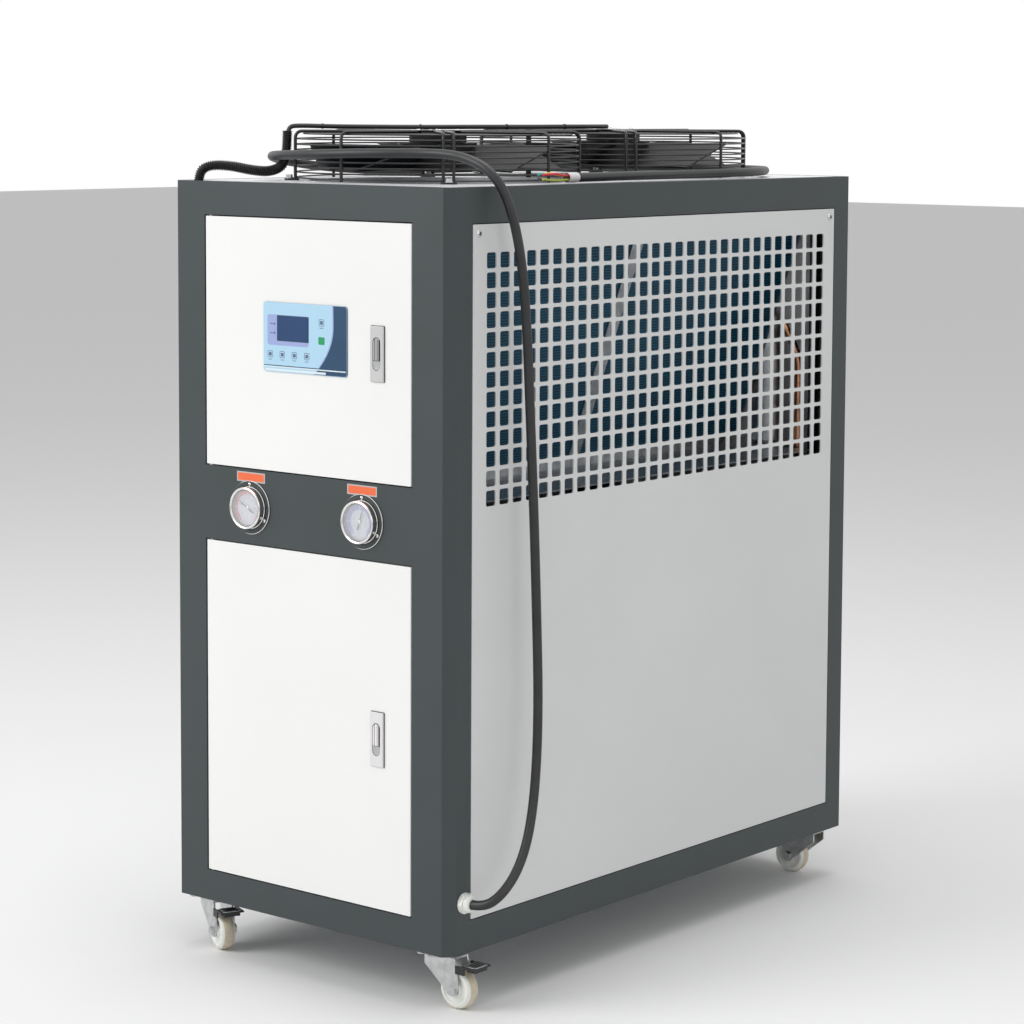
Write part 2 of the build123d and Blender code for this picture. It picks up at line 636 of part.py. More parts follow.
def latch_lever(up):
    """The pull lever, ridged along its middle, that swings out about its upper end."""
    split = latch_split(up)
    front = FRONT - LATCH_PLATE
    left, right = LATCH_ACROSS - LATCH_WIDTH, LATCH_ACROSS + LATCH_WIDTH
    keep = block(left, right, front - 5, FRONT + 20, split + LATCH_FIT / 2, split + LATCH_HEIGHT)
    lever = latch_infill(up) & keep
    back_cut = 0.45 * LATCH_POCKET_DEPTH
    y, z = lever_pivot(up)
    lever -= block(left, right, front + back_cut, FRONT + 20, split - 1, z - 5)
    toe_radius = FRONT - LATCH_PLATE + LATCH_POCKET_DEPTH - LATCH_FIT - y
    toe = drum(toe_radius, right - left, (left, y, z), (1, 0, 0))
    corner = block(left, right, y, FRONT + 20, z, z + LATCH_POCKET_WIDTH)
    return lever - (corner - toe)


def lever_pivot(up):
    """Depth and height of the lever's pivot."""
    top = BASE + up + LATCH_POCKET_HEIGHT / 2
    return FRONT - LATCH_PLATE + LATCH_PIVOT_DEPTH, top - LATCH_POCKET_WIDTH / 2


def latch_button(up):
    """The push button below the lever."""
    split = latch_split(up)
    left, right = LATCH_ACROSS - LATCH_WIDTH, LATCH_ACROSS + LATCH_WIDTH
    back = FRONT - LATCH_PLATE + LATCH_POCKET_DEPTH - LATCH_BUTTON_TRAVEL - LATCH_FIT
    low, high = split - LATCH_HEIGHT, split - LATCH_FIT / 2
    return latch_infill(up) & block(left, right, FRONT - 20, back, low, high)


def control_panel():
    """The controller's front plate on the upper door, with a window for the display."""
    plane = Plane(origin=(0, FRONT, BASE + CONTROLLER_CENTRE_UP), x_dir=(1, 0, 0), z_dir=(0, -1, 0))
    face = RectangleRounded(CONTROLLER_WIDTH, CONTROLLER_HEIGHT, CONTROLLER_CORNER)
    plate = extrude(plane * face, CONTROLLER_THICKNESS)
    window = plane.offset(CONTROLLER_THICKNESS - DISPLAY_THICKNESS) * Pos(DISPLAY_ACROSS, DISPLAY_UP)
    return plate - extrude(window * Rectangle(DISPLAY_WIDTH, DISPLAY_HEIGHT), 2 * DISPLAY_THICKNESS)


def display():
    """The display glass, flush in the controller's front plate."""
    plane = Plane(origin=(0, FRONT, BASE + CONTROLLER_CENTRE_UP), x_dir=(1, 0, 0), z_dir=(0, -1, 0))
    window = plane.offset(CONTROLLER_THICKNESS - DISPLAY_THICKNESS) * Pos(DISPLAY_ACROSS, DISPLAY_UP)
    edge = 2 * RUNNING_GAP
    return extrude(window * Rectangle(DISPLAY_WIDTH - edge, DISPLAY_HEIGHT - edge), DISPLAY_THICKNESS)


def controller_case():
    """The controller's case behind the door skin."""
    half_w = CONTROLLER_WIDTH / 2 - CONTROLLER_CASE_MARGIN
    half_h = CONTROLLER_HEIGHT / 2 - CONTROLLER_CASE_MARGIN
    z = BASE + CONTROLLER_CENTRE_UP
    back = FRONT + SHEET + CONTROLLER_CASE_DEPTH
    body = block(-half_w, half_w, FRONT + SHEET, back, z - half_h, z + half_h)
    return fillet(body.edges().filter_by(Axis.Y), 4)


def gauge_case(across):
    """A pressure gauge: flange, bezel, dial floor and the can behind the band, turned as one."""
    profile = [
        (GAUGE_ARBOR_RADIUS + RUNNING_GAP, -GAUGE_BEZEL_DEPTH + GAUGE_DIAL_DEPTH),
        (GAUGE_BEZEL_RADIUS - GAUGE_BEZEL_WALL, -GAUGE_BEZEL_DEPTH + GAUGE_DIAL_DEPTH),
        (GAUGE_BEZEL_RADIUS - GAUGE_BEZEL_WALL, -GAUGE_BEZEL_DEPTH),
        (GAUGE_BEZEL_RADIUS - GAUGE_BEZEL_WALL / 2, -GAUGE_BEZEL_DEPTH - 1),
        (GAUGE_BEZEL_RADIUS, -GAUGE_BEZEL_DEPTH + 2),
        (GAUGE_BEZEL_RADIUS, -GAUGE_FLANGE_THICKNESS),
        (GAUGE_FLANGE_RADIUS, -GAUGE_FLANGE_THICKNESS),
        (GAUGE_FLANGE_RADIUS, 0),
        (GAUGE_CAN_RADIUS, 0),
        (GAUGE_CAN_RADIUS, GAUGE_CAN_LENGTH),
        (GAUGE_ARBOR_RADIUS + RUNNING_GAP, GAUGE_CAN_LENGTH),
    ]
    face = make_face(Polyline(*[(r, y, 0) for r, y in profile], close=True))
    turned = revolve(face, Axis.Y, 360)
    return Pos(across, FRONT, BASE + GAUGE_HEIGHT) * turned


def gauge_glass(across):
    """The gauge's window, just inside the bezel."""
    radius = GAUGE_BEZEL_RADIUS - GAUGE_BEZEL_WALL - RUNNING_GAP
    start = (across, FRONT - GAUGE_BEZEL_DEPTH, BASE + GAUGE_HEIGHT)
    return drum(radius, GAUGE_GLASS, start, (0, 1, 0))


def gauge_needle(across, angle):
    """The needle with its counterweight, boss and arbor."""
    floor = FRONT - GAUGE_BEZEL_DEPTH + GAUGE_DIAL_DEPTH
    low = floor - GAUGE_NEEDLE_STAND_OFF
    plane = Plane(origin=(across, low, BASE + GAUGE_HEIGHT), x_dir=(1, 0, 0), z_dir=(0, -1, 0))
    outline = Polyline(
        (-GAUGE_NEEDLE_TAIL, -1.4), (0, -1.0), (GAUGE_NEEDLE_LENGTH, -0.3),
        (GAUGE_NEEDLE_LENGTH, 0.3), (0, 1.0), (-GAUGE_NEEDLE_TAIL, 1.4), close=True,
    )
    blade = extrude(plane * Rot(0, 0, angle) * make_face(outline), GAUGE_NEEDLE_THICKNESS)
    centre = (across, low - GAUGE_NEEDLE_THICKNESS, BASE + GAUGE_HEIGHT)
    boss = drum(2.6, GAUGE_NEEDLE_THICKNESS + 0.6, centre, (0, 1, 0))
    arbor_length = GAUGE_NEEDLE_THICKNESS + GAUGE_NEEDLE_STAND_OFF + 4
    return blade + boss + drum(GAUGE_ARBOR_RADIUS, arbor_length, centre, (0, 1, 0))


def gauge_screws():
    """Three small screws on each gauge's flange."""
    screws = []
    for across in (-GAUGE_SPACING / 2, GAUGE_SPACING / 2):
        for angle in (90, 210, 330):
            x = across + GAUGE_SCREW_CIRCLE * cos(radians(angle))
            z = BASE + GAUGE_HEIGHT + GAUGE_SCREW_CIRCLE * sin(radians(angle))
            screws.append(drum(GAUGE_SCREW_RADIUS, 1.6, (x, FRONT - GAUGE_FLANGE_THICKNESS, z), (0, -1, 0)))
    return screws


def guard_ring(radius, low):
    """One ring of guard wire, drawn as short straight chords."""
    outer = RegularPolygon(radius + GUARD_WIRE / 2, GUARD_CHORDS)
    inner = RegularPolygon(radius - GUARD_WIRE / 2, GUARD_CHORDS)
    return Pos(0, 0, low) * extrude(outer - inner, GUARD_WIRE)


def guard_post(angle, aside):
    """A guard wire that runs out over the top, turns down at the rim and stands on the roof."""
    reach = GUARD_RADIUS
    top = GUARD_HEIGHT - GUARD_POST_WIRE
    start = GUARD_HUB_RADIUS - 1
    path = Polyline((start, top), (reach - GUARD_CORNER, top), (reach, top - GUARD_CORNER), (reach, 0))
    outline = make_face(path + Polyline(
        (reach, 0), (reach + GUARD_POST_WIRE, 0), (reach + GUARD_POST_WIRE, top - GUARD_CORNER),
        (reach - GUARD_CORNER, top + GUARD_POST_WIRE), (start, top + GUARD_POST_WIRE), (start, top),
    ))
    upright = Plane(origin=(0, aside - GUARD_POST_WIRE / 2, 0), x_dir=(1, 0, 0), z_dir=(0, -1, 0))
    wire = extrude(upright * outline, -GUARD_POST_WIRE)
    return Rot(0, 0, angle) * wire


def fan_guard(place):
    """A basket guard: four pairs of corner wires on feet, four single wires, and rings round side and top."""
    parts = []
    for angle in (45, 135, 225, 315):
        for aside in (-GUARD_POST_SPREAD / 2, GUARD_POST_SPREAD / 2):
            parts.append(guard_post(angle, aside))
        foot = block(
            GUARD_RADIUS - 2, GUARD_RADIUS + GUARD_FOOT_LENGTH,
            -GUARD_FOOT_WIDTH / 2, GUARD_FOOT_WIDTH / 2, 0, GUARD_FOOT_PLATE,
        )
        parts.append(Rot(0, 0, angle) * foot)
    for angle in (0, 90, 180, 270):
        parts.append(guard_post(angle, 0))
    side_step = (GUARD_HEIGHT - GUARD_CORNER - GUARD_LOWEST_RING - GUARD_WIRE - 3) / (GUARD_SIDE_RINGS - 1)
    for number in range(GUARD_SIDE_RINGS):
        parts.append(guard_ring(GUARD_RADIUS + 1, GUARD_LOWEST_RING + number * side_step))
    top_step = (GUARD_RADIUS - GUARD_CORNER - GUARD_HUB_RADIUS) / (GUARD_TOP_RINGS + 1)
    for number in range(1, GUARD_TOP_RINGS + 1):
        parts.append(guard_ring(GUARD_HUB_RADIUS + number * top_step, GUARD_HEIGHT - GUARD_POST_WIRE))
    hub = Pos(0, 0, GUARD_HEIGHT - GUARD_HUB_PLATE / 2) * Cylinder(GUARD_HUB_RADIUS, GUARD_HUB_PLATE)
    body = hub.fuse(*parts)
    return Pos(0, place, ROOF) * body


def fan_motor(place):
    """A fan's stator, hung under the guard's hub plate, with the shaft that the rotor turns on."""
    top = ROOF + GUARD_HEIGHT - GUARD_HUB_PLATE
    can = drum(MOTOR_RADIUS, MOTOR_LENGTH, (0, place, top), (0, 0, -1))
    shaft_length = MOTOR_LENGTH + ROTOR_TOP_GAP + ROTOR_HUB_LENGTH - 4
    return can + drum(ROTOR_SHAFT_RADIUS, shaft_length, (0, place, top), (0, 0, -1))


def blade():
    """One fan blade: a thin plate that widens and flattens towards its tip."""
    root_radius = ROTOR_HUB_RADIUS - 4
    sections = []
    for radius, chord, pitch in (
        (root_radius, BLADE_ROOT_CHORD, BLADE_ROOT_PITCH),
        (BLADE_TIP_RADIUS, BLADE_TIP_CHORD, BLADE_TIP_PITCH),
    ):
        slope = (0, cos(radians(pitch)), sin(radians(pitch)))
        plane = Plane(origin=(radius, 0, 0), x_dir=slope, z_dir=(1, 0, 0))
        sections.append(plane * Rectangle(chord, BLADE_THICKNESS))
    return loft(sections)


def fan_rotor(place):
    """The external rotor: a drum with five twisted blades, bored for the shaft."""
    top = GUARD_HEIGHT - GUARD_HUB_PLATE - MOTOR_LENGTH - ROTOR_TOP_GAP
    hub = drum(ROTOR_HUB_RADIUS, ROTOR_HUB_LENGTH, (0, 0, top), (0, 0, -1))
    middle = Pos(0, 0, top - ROTOR_HUB_LENGTH / 2)
    blades = [middle * Rot(0, 0, 360 / BLADE_COUNT * number) * blade() for number in range(BLADE_COUNT)]
    body = hub.fuse(*blades)
    body -= drum(ROTOR_SHAFT_RADIUS + RUNNING_GAP, ROTOR_HUB_LENGTH + 2, (0, 0, top + 1), (0, 0, -1))
    return Pos(0, place, ROOF) * body


def coil_frame_of(side):
    """A frame whose X is a coil's thickness and Z its slope, on the coil's middle."""
    middle_z = BASE + (COIL_TOP + COIL_BOTTOM) / 2
    slope_run = (COIL_TOP - COIL_BOTTOM) / 2 * tan(radians(COIL_LEAN))
    x = COIL_TOP_ACROSS - slope_run
    y = COIL_BACK - COIL_LENGTH / 2
    return Location((side * x, y, middle_z), (0, side * COIL_LEAN, 0))


def coil_height():
    """A coil's length up its own slope."""
    return (COIL_TOP - COIL_BOTTOM) / cos(radians(COIL_LEAN)) - COIL_THICKNESS * tan(radians(COIL_LEAN))


def condenser_coil(side):
    """A finned coil block with the ends of its tubes standing out of both end plates."""
    block_body = Box(COIL_THICKNESS, COIL_LENGTH, coil_height())
    return coil_frame_of(side) * block_body


def coil_brackets(side):
    """The galvanised tray and uprights that carry one coil."""
    height = coil_height()
    outside = COIL_THICKNESS / 2 + COIL_PLATE / 2
    end = COIL_LENGTH / 2 + COIL_PLATE / 2 + COIL_CLEARANCE
    deep = COIL_THICKNESS + 2 * COIL_PLATE
    plates = [
        Pos(0, place, 0) * Box(deep, COIL_PLATE, height) for place in (-end, end)
    ]
    strut_place = FRONT + COIL_STRUT_PLACE - coil_frame_of(side).position.Y
    face = side * (outside + COIL_CLEARANCE)
    plates.append(Pos(face, strut_place, 0) * Box(COIL_PLATE, COIL_STRUT_WIDTH, height))
    sill = -height / 2 - COIL_PLATE / 2 - COIL_CLEARANCE
    plates.append(Pos(0, 0, sill) * Box(deep + 2 * COIL_PLATE, 2 * end + COIL_PLATE, COIL_PLATE))
    leg_low = BASE + DECK_HEIGHT + SHEET
    frame = coil_frame_of(side)
    body = frame * plates[0].fuse(*plates[1:])
    sill_centre = frame * Pos(0, 0, sill)
    x = sill_centre.position.X
    y = sill_centre.position.Y
    half = COIL_LEG_THICKNESS / 2
    leg_top = sill_centre.position.Z - half * tan(radians(COIL_LEAN)) + COIL_PLATE / 2
    legs = block(x - half, x + half, y - end, y + end, leg_low, leg_top)
    return body + legs


def mid_deck():
    """The sheet between coils and machine room, notched at the back for the refrigerant riser."""
    low = BASE + DECK_HEIGHT
    deck = block(-DECK_WIDTH / 2, DECK_WIDTH / 2, FRONT + SHEET, BACK - DECK_BACK_GAP, low, low + SHEET)
    notch_x = DECK_WIDTH / 2 - DECK_NOTCH_WIDTH
    notch_y = BACK - DECK_BACK_GAP - DECK_NOTCH_DEPTH
    return deck - block(notch_x, DECK_WIDTH / 2 + 1, notch_y, BACK, low - 1, low + SHEET + 1)


def electrical_box():
    """The open-fronted box behind the upper door, standing on the deck."""
    low = BASE + DECK_HEIGHT + SHEET
    half = BOX_WIDTH / 2
    front = FRONT + BOX_FRONT
    outer = block(-half, half, front, front + BOX_DEPTH, low, low + BOX_HEIGHT)
    wide = half - SHEET
    top = low + BOX_HEIGHT - SHEET
    return outer - block(-wide, wide, front - 1, front + BOX_DEPTH - SHEET, low + SHEET, top)


def switchgear(across, up, width, height, depth):
    """A contactor or breaker on the electrical box's back wall."""
    wall = FRONT + BOX_FRONT + BOX_DEPTH - SHEET
    z = BASE + DECK_HEIGHT + up
    body = block(across - width / 2, across + width / 2, wall - depth, wall, z - height / 2, z + height / 2)
    left, right = across - width / 3, across + width / 3
    front = wall - depth
    nose = block(left, right, front - SWITCHGEAR_NOSE, front, z - height / 5, z + height / 5)
    return body + nose


def compressor():
    """The hermetic compressor: a domed can on a square foot plate."""
    low = BASE + SHEET + BASE_PAN_THICKNESS
    x, y = COMPRESSOR_ACROSS, FRONT + COMPRESSOR_BACK
    half, top = COMPRESSOR_FOOT_HALF, low + COMPRESSOR_FOOT
    foot = block(x - half, x + half, y - half, y + half, top - COMPRESSOR_FOOT_PLATE, top)
    centre_radius, centre_height = COMPRESSOR_RADIUS - COMPRESSOR_DOME, COMPRESSOR_HEIGHT - COMPRESSOR_DOME
    dome = [
        (centre_radius + COMPRESSOR_DOME * cos(radians(a)), centre_height + COMPRESSOR_DOME * sin(radians(a)))
        for a in (0, 30, 60, 90)
    ]
    can = Pos(x, y, top) * turned([(0, 0), (COMPRESSOR_RADIUS, 0)] + dome + [(0, COMPRESSOR_HEIGHT)])
    place = COMPRESSOR_GROMMET_PLACE
    feet = [
        drum(COMPRESSOR_GROMMET_RADIUS, COMPRESSOR_FOOT - COMPRESSOR_FOOT_PLATE, (x + dx, y + dy, low), (0, 0, 1))
        for dx in (-place, place) for dy in (-place, place)
    ]
    return (foot + can).fuse(*feet)


def water_tank():
    """The closed water tank, which also holds the evaporator coil, with its flanged lid."""
    low = BASE + SHEET + BASE_PAN_THICKNESS
    y = TANK_REAR - TANK_DEPTH / 2
    body = Pos(0, y, low + TANK_HEIGHT / 2) * Box(TANK_WIDTH, TANK_DEPTH, TANK_HEIGHT)
    body = fillet(body.edges().filter_by(Axis.Z), TANK_CORNER)
    lid = Box(TANK_WIDTH + 2 * TANK_LID_RIM, TANK_DEPTH + 2 * TANK_LID_RIM, TANK_LID)
    return body + Pos(0, y, low + TANK_HEIGHT + TANK_LID / 2) * lid


def pump():
    """The circulation pump: motor, head and foot, lying along the cabinet."""
    low = BASE + SHEET + BASE_PAN_THICKNESS
    axis_up = low + PUMP_SEAT_HEIGHT + PUMP_HEAD_RADIUS
    y = FRONT + PUMP_BACK - PUMP_MOTOR_LENGTH / 2
    motor = drum(PUMP_MOTOR_RADIUS, PUMP_MOTOR_LENGTH, (PUMP_ACROSS, y, axis_up), (0, 1, 0))
    head = drum(PUMP_HEAD_RADIUS, PUMP_HEAD_LENGTH, (PUMP_ACROSS, y + PUMP_MOTOR_LENGTH, axis_up), (0, 1, 0))
    left, right = PUMP_ACROSS - PUMP_FOOT_HALF, PUMP_ACROSS + PUMP_FOOT_HALF
    foot_front, foot_back = y + PUMP_FOOT_INSET, y + PUMP_MOTOR_LENGTH - PUMP_FOOT_INSET
    foot = block(left, right, foot_front, foot_back, low, axis_up - PUMP_FOOT_DROP)
    outlet_start = (PUMP_ACROSS, y + PUMP_MOTOR_LENGTH + PUMP_HEAD_LENGTH / 2, axis_up)
    outlet = drum(PUMP_OUTLET_RADIUS, PUMP_HEAD_RADIUS + PUMP_OUTLET_RISE, outlet_start, (0, 0, 1))
    return (motor + head).fuse(foot, outlet)


def receiver():
    """The liquid receiver, an upright can behind the right-hand coil."""
    low = BASE + DECK_HEIGHT + SHEET
    end_radius = RECEIVER_RADIUS - RECEIVER_EDGE
    can = turned([
        (0, 0), (end_radius, 0), (RECEIVER_RADIUS, RECEIVER_EDGE),
        (RECEIVER_RADIUS, RECEIVER_HEIGHT - RECEIVER_EDGE), (end_radius, RECEIVER_HEIGHT), (0, RECEIVER_HEIGHT),
    ])
    return Pos(RECEIVER_ACROSS, BACK - RECEIVER_REAR_GAP, low) * can


def copper_line():
    """The discharge line: off the compressor's dome, along the right side and up to the coil's end."""
    low = BASE + SHEET + BASE_PAN_THICKNESS + COMPRESSOR_FOOT + COMPRESSOR_HEIGHT
    x, y = COMPRESSOR_ACROSS, FRONT + COMPRESSOR_BACK
    riser_y, crest = RISER_PLACE, low + LINE_CREST + LINE_SLOPE
    turn = BASE + DECK_HEIGHT + COIL_INLET_RISE
    points = [
        (x, y, low), (x, y, low + LINE_RISE), (RISER_ACROSS, y + LINE_RUN, low + LINE_CREST),
        (RISER_ACROSS, riser_y - LINE_RUN, crest), (RISER_ACROSS, riser_y, crest + LINE_TURN),
        (RISER_ACROSS, riser_y, turn),
        (RISER_ACROSS - 8, riser_y - LINE_RUN / 2, turn + COIL_INLET_TURN),
        (RISER_ACROSS - 20, COIL_BACK + 4, turn + COIL_INLET_TURN + COIL_INLET_LIFT),
    ]
    pipe, _, _ = tube_along(points, COPPER_RADIUS, 0.4)
    return pipe


def castor_spot(across, along):
    """A castor's swivel axis."""
    return across * (HALF_WIDTH - CASTOR_INSET_ACROSS), along * (HALF_DEPTH - CASTOR_INSET_BACK)


def castor_plate(across, along):
    """A castor's top plate with the upper half of its swivel race, bored for the king pin."""
    x, y = castor_spot(across, along)
    half_l, half_w = CASTOR_PLATE_LENGTH / 2, CASTOR_PLATE_WIDTH / 2
    plate = block(x - half_w, x + half_w, y - half_l, y + half_l, BASE - CASTOR_PLATE, BASE)
    plate = fillet(plate.edges().filter_by(Axis.Z), CASTOR_PLATE_CORNER)
    plate += drum(CASTOR_RACE_RADIUS, CASTOR_RACE, (x, y, BASE - CASTOR_PLATE), (0, 0, -1))
    bore = drum(CASTOR_KINGPIN_RADIUS + RUNNING_GAP, CASTOR_RACE + 2, (x, y, race_low() - 1), (0, 0, 1))
    return plate - bore


def race_low():
    """The underside of the fixed half of the swivel race."""
    return BASE - CASTOR_PLATE - CASTOR_RACE


def place_castor(across, along, angle, body):
    """Moves a body modelled with its swivel axis on Z and its wheel trailing along X to its castor."""
    x, y = castor_spot(across, along)
    return Pos(x, y, 0) * Rot(0, 0, angle) * body


def castor_fork():
    """The swivel fork: crown, king pin and two tapered legs down to the axle."""
    top = race_low() - CASTOR_RACE_GAP
    inside = WHEEL_WIDTH / 2 + WHEEL_HUB_PROUD + FORK_SIDE_GAP
    half = inside + FORK_PLATE
    crown = block(-CASTOR_RACE_RADIUS, CASTOR_TRAIL + 2, -half, half, top - FORK_PLATE, top)
    crown += drum(CASTOR_RACE_RADIUS, FORK_PLATE, (0, 0, top), (0, 0, -1))
    outline = Polyline(
        (-CASTOR_RACE_RADIUS, top), (CASTOR_TRAIL + 2, top),
        (CASTOR_TRAIL + FORK_EYE_RADIUS, WHEEL_RADIUS + 16), (CASTOR_TRAIL + FORK_EYE_RADIUS, WHEEL_RADIUS),
        (CASTOR_TRAIL + FORK_EYE_RADIUS * 0.7, WHEEL_RADIUS - FORK_EYE_RADIUS * 0.7),
        (CASTOR_TRAIL, WHEEL_RADIUS - FORK_EYE_RADIUS),
        (CASTOR_TRAIL - FORK_EYE_RADIUS * 0.8, WHEEL_RADIUS - FORK_EYE_RADIUS * 0.6),
        (-CASTOR_RACE_RADIUS, top - 16), close=True,
    )
    fork = crown
    for face_y in (-inside, half):
        plane = Plane(origin=(0, face_y, 0), x_dir=(1, 0, 0), z_dir=(0, -1, 0))
        fork += extrude(plane * make_face(outline), FORK_PLATE)
    fork += drum(CASTOR_KINGPIN_RADIUS, CASTOR_RACE + 2, (0, 0, top - 1), (0, 0, 1))
    hole = drum(AXLE_RADIUS + RUNNING_GAP, 2 * half + 2, (CASTOR_TRAIL, -half - 1, WHEEL_RADIUS), (0, 1, 0))
    return fork - hole


def castor_wheel():
    """The nylon wheel with a crowned tread, sunk faces and a standing hub."""
    half = WHEEL_WIDTH / 2
    hub = 11.0
    bore = AXLE_RADIUS + RUNNING_GAP
    profile = [
        (bore, -half - WHEEL_HUB_PROUD), (hub, -half - WHEEL_HUB_PROUD), (hub, -half + 3),
        (WHEEL_RADIUS - 7, -half + 3), (WHEEL_RADIUS - WHEEL_EDGE, -half), (WHEEL_RADIUS, -half + WHEEL_EDGE),
        (WHEEL_RADIUS, half - WHEEL_EDGE), (WHEEL_RADIUS - WHEEL_EDGE, half), (WHEEL_RADIUS - 7, half - 3),
        (hub, half - 3), (hub, half + WHEEL_HUB_PROUD), (bore, half + WHEEL_HUB_PROUD),
    ]
    face = make_face(Polyline(*[(r, y, 0) for r, y in profile], close=True))
    return Pos(CASTOR_TRAIL, 0, WHEEL_RADIUS) * revolve(face, Axis.Y, 360)


def castor_axle():
    """The axle bolt with its head and nut, through both fork legs and the wheel."""
    half = WHEEL_WIDTH / 2 + WHEEL_HUB_PROUD + FORK_SIDE_GAP + FORK_PLATE
    bolt = drum(AXLE_RADIUS, 2 * half, (CASTOR_TRAIL, -half, WHEEL_RADIUS), (0, 1, 0))
    for side in (-1, 1):
        plane = Plane(origin=(CASTOR_TRAIL, side * half, WHEEL_RADIUS), z_dir=(0, side, 0))
        bolt += extrude(plane * RegularPolygon(AXLE_HEAD_ACROSS / 2, 6, major_radius=False), AXLE_HEAD)
    return bolt


def pedal_axis():
    """Distance from the swivel axis and height of the brake pedal's pin."""
    return CASTOR_TRAIL + PEDAL_PIN_OUT - 12, race_low() - PEDAL_PIN_DOWN


def castor_pedal():
    """The brake pedal: a plate over the wheel that tips down about a pin outside the fork's legs."""
    x, z = pedal_axis()
    inside = WHEEL_WIDTH / 2 + WHEEL_HUB_PROUD + FORK_SIDE_GAP + FORK_PLATE + 0.4
    ear = 2.0
    half = inside + ear
    ears = [block(x - 5, x + 12, low, low + ear, z - 4, z + 8) for low in (-half, inside)]
    plate = block(x + 7, x + 7 + PEDAL_LENGTH, -half, half, z + 6, z + 6 + PEDAL_PLATE)
    tread = block(x + 14, x + 7 + PEDAL_LENGTH - 2, -PEDAL_WIDTH / 2 + 4, PEDAL_WIDTH / 2 - 4, z + 1, z + 6)
    pins = [drum(PEDAL_PIN_RADIUS, 3, (x, side * (half - ear), z), (0, -side, 0)) for side in (-1, 1)]
    return plate.fuse(*ears, tread, *pins)


def castor_bolts():
    """Four hexagon bolt heads under each castor plate."""
    heads = []
    hexagon = RegularPolygon(BOLT_ACROSS / 2, 6, major_radius=False)
    for across, along, _, _ in CASTORS.values():
        x, y = castor_spot(across, along)
        for dx in (-BOLT_SPACING_WIDE / 2, BOLT_SPACING_WIDE / 2):
            for dy in (-BOLT_SPACING_LONG / 2, BOLT_SPACING_LONG / 2):
                plane = Plane(origin=(x + dx, y + dy, BASE - CASTOR_PLATE), z_dir=(0, 0, -1))
                heads.append(extrude(plane * hexagon, BOLT_HEAD))
    return heads


# Routes of the flexible pieces, chosen by hand
CONDUIT_POINTS = [
    (-240.0, -496.0, 1170.0), (-240.0, -496.0, 1197.0), (-227.0, -485.0, 1208.5), (-207.0, -458.0, 1207.0),
    (-192.0, -430.0, 1200.0), (-179.0, -402.0, 1197.5), (-171.0, -380.5, 1208.0), (-169.5, -376.3, 1234.0),
    (-169.3, -375.7, 1260.0),
]
FAN_LEAD_POINTS = [
    (-169.3, -375.7, 1252.0), (-169.0, -374.5, 1266.0), (-159.0, -363.0, 1268.0), (-122.0, -322.0, 1266.6),
    (-78.0, -284.0, 1266.4), (-36.0, -232.0, 1266.2), (-10.0, -160.0, 1266.4), (3.0, -80.0, 1266.5),
    (5.0, 0.0, 1266.3), (8.0, 80.0, 1266.5), (12.0, 150.0, 1266.4), (8.0, 196.0, 1266.4),
]
CORD_POINTS = [
    (290.0, -482.7, 160.7), (317.0, -482.7, 160.7), (334.0, -464.0, 177.0), (338.0, -432.0, 207.0),
    (336.0, -404.0, 254.0), (331.0, -383.0, 330.0), (326.0, -372.0, 440.0), (322.0, -372.5, 570.0),
    (320.0, -377.0, 710.0), (318.0, -384.0, 850.0), (317.0, -391.0, 975.0), (315.0, -399.0, 1065.0),
    (311.0, -411.0, 1130.0), (301.0, -424.0, 1180.0), (279.0, -432.0, 1209.0), (246.0, -433.0, 1223.0),
    (200.0, -426.0, 1230.0), (150.0, -432.5, 1231.0), (85.0, -457.0, 1230.5), (10.0, -470.0, 1228.5),
    (-62.0, -462.5, 1226.0), (-131.5, -437.4, 1224.0), (-197.0, -386.0, 1221.0), (-239.0, -312.0, 1212.5),
    (-247.5, -220.0, 1202.0), (-247.0, -120.0, 1195.5), (-244.0, 10.0, 1194.5), (-247.0, 140.0, 1194.0),
    (-248.0, 250.0, 1194.3), (-221.0, 343.0, 1194.6), (-170.0, 410.0, 1194.3), (-95.0, 453.0, 1194.6),
    (0.0, 467.0, 1194.4), (95.0, 452.0, 1194.8), (170.0, 410.0, 1195.2), (222.0, 343.0, 1195.6),
    (244.0, 250.0, 1195.0), (240.5, 140.0, 1194.5), (246.0, 20.0, 1194.3), (252.0, -90.0, 1194.6),
    (255.0, -166.0, 1194.2), (258.0, -228.0, 1194.4),
]
CORE_SPREADS = (
    ((3.0, 3.0), (5.0, 4.0)),
    ((-3.0, 3.0), (-4.0, 5.0)),
    ((3.0, -3.0), (3.5, -1.2)),
    ((-3.0, -3.0), (-5.0, -1.0)),
)
CORE_LENGTH = 66.0


def power_cord():
    """The rubber power cord, from the gland up the right side and round both fan guards."""
    cord, radii, length = tube_along(CORD_POINTS, CORD_RADIUS)
    print("cord length", round(length), "radii", [round(radius) for radius in radii])
    print("volume against section times length", round(cord.volume / (pi * CORD_RADIUS**2 * length), 4))
    return cord


def cord_cores():
    """The four bared conductors at the cord's free end."""
    end, before = Vector(*CORD_POINTS[-1]), Vector(*CORD_POINTS[-2])
    along = (end - before).normalized()
    aside = Vector(along.Y, -along.X, 0).normalized()
    up = Vector(0, 0, 1)
    cores = []
    for start, spread in CORE_SPREADS:
        root = end + along * CORE_GAP + aside * start[0] + up * start[1]
        middle = root + along * (CORE_LENGTH * 0.6) + aside * spread[0] + up * spread[1]
        tip = root + along * CORE_LENGTH + aside * (start[0] * 0.4) + up * 1.5
        core, _, _ = tube_along([tuple(root), tuple(middle), tuple(tip)], CORE_RADIUS, 0.4)
        cores.append(core)
    return cores


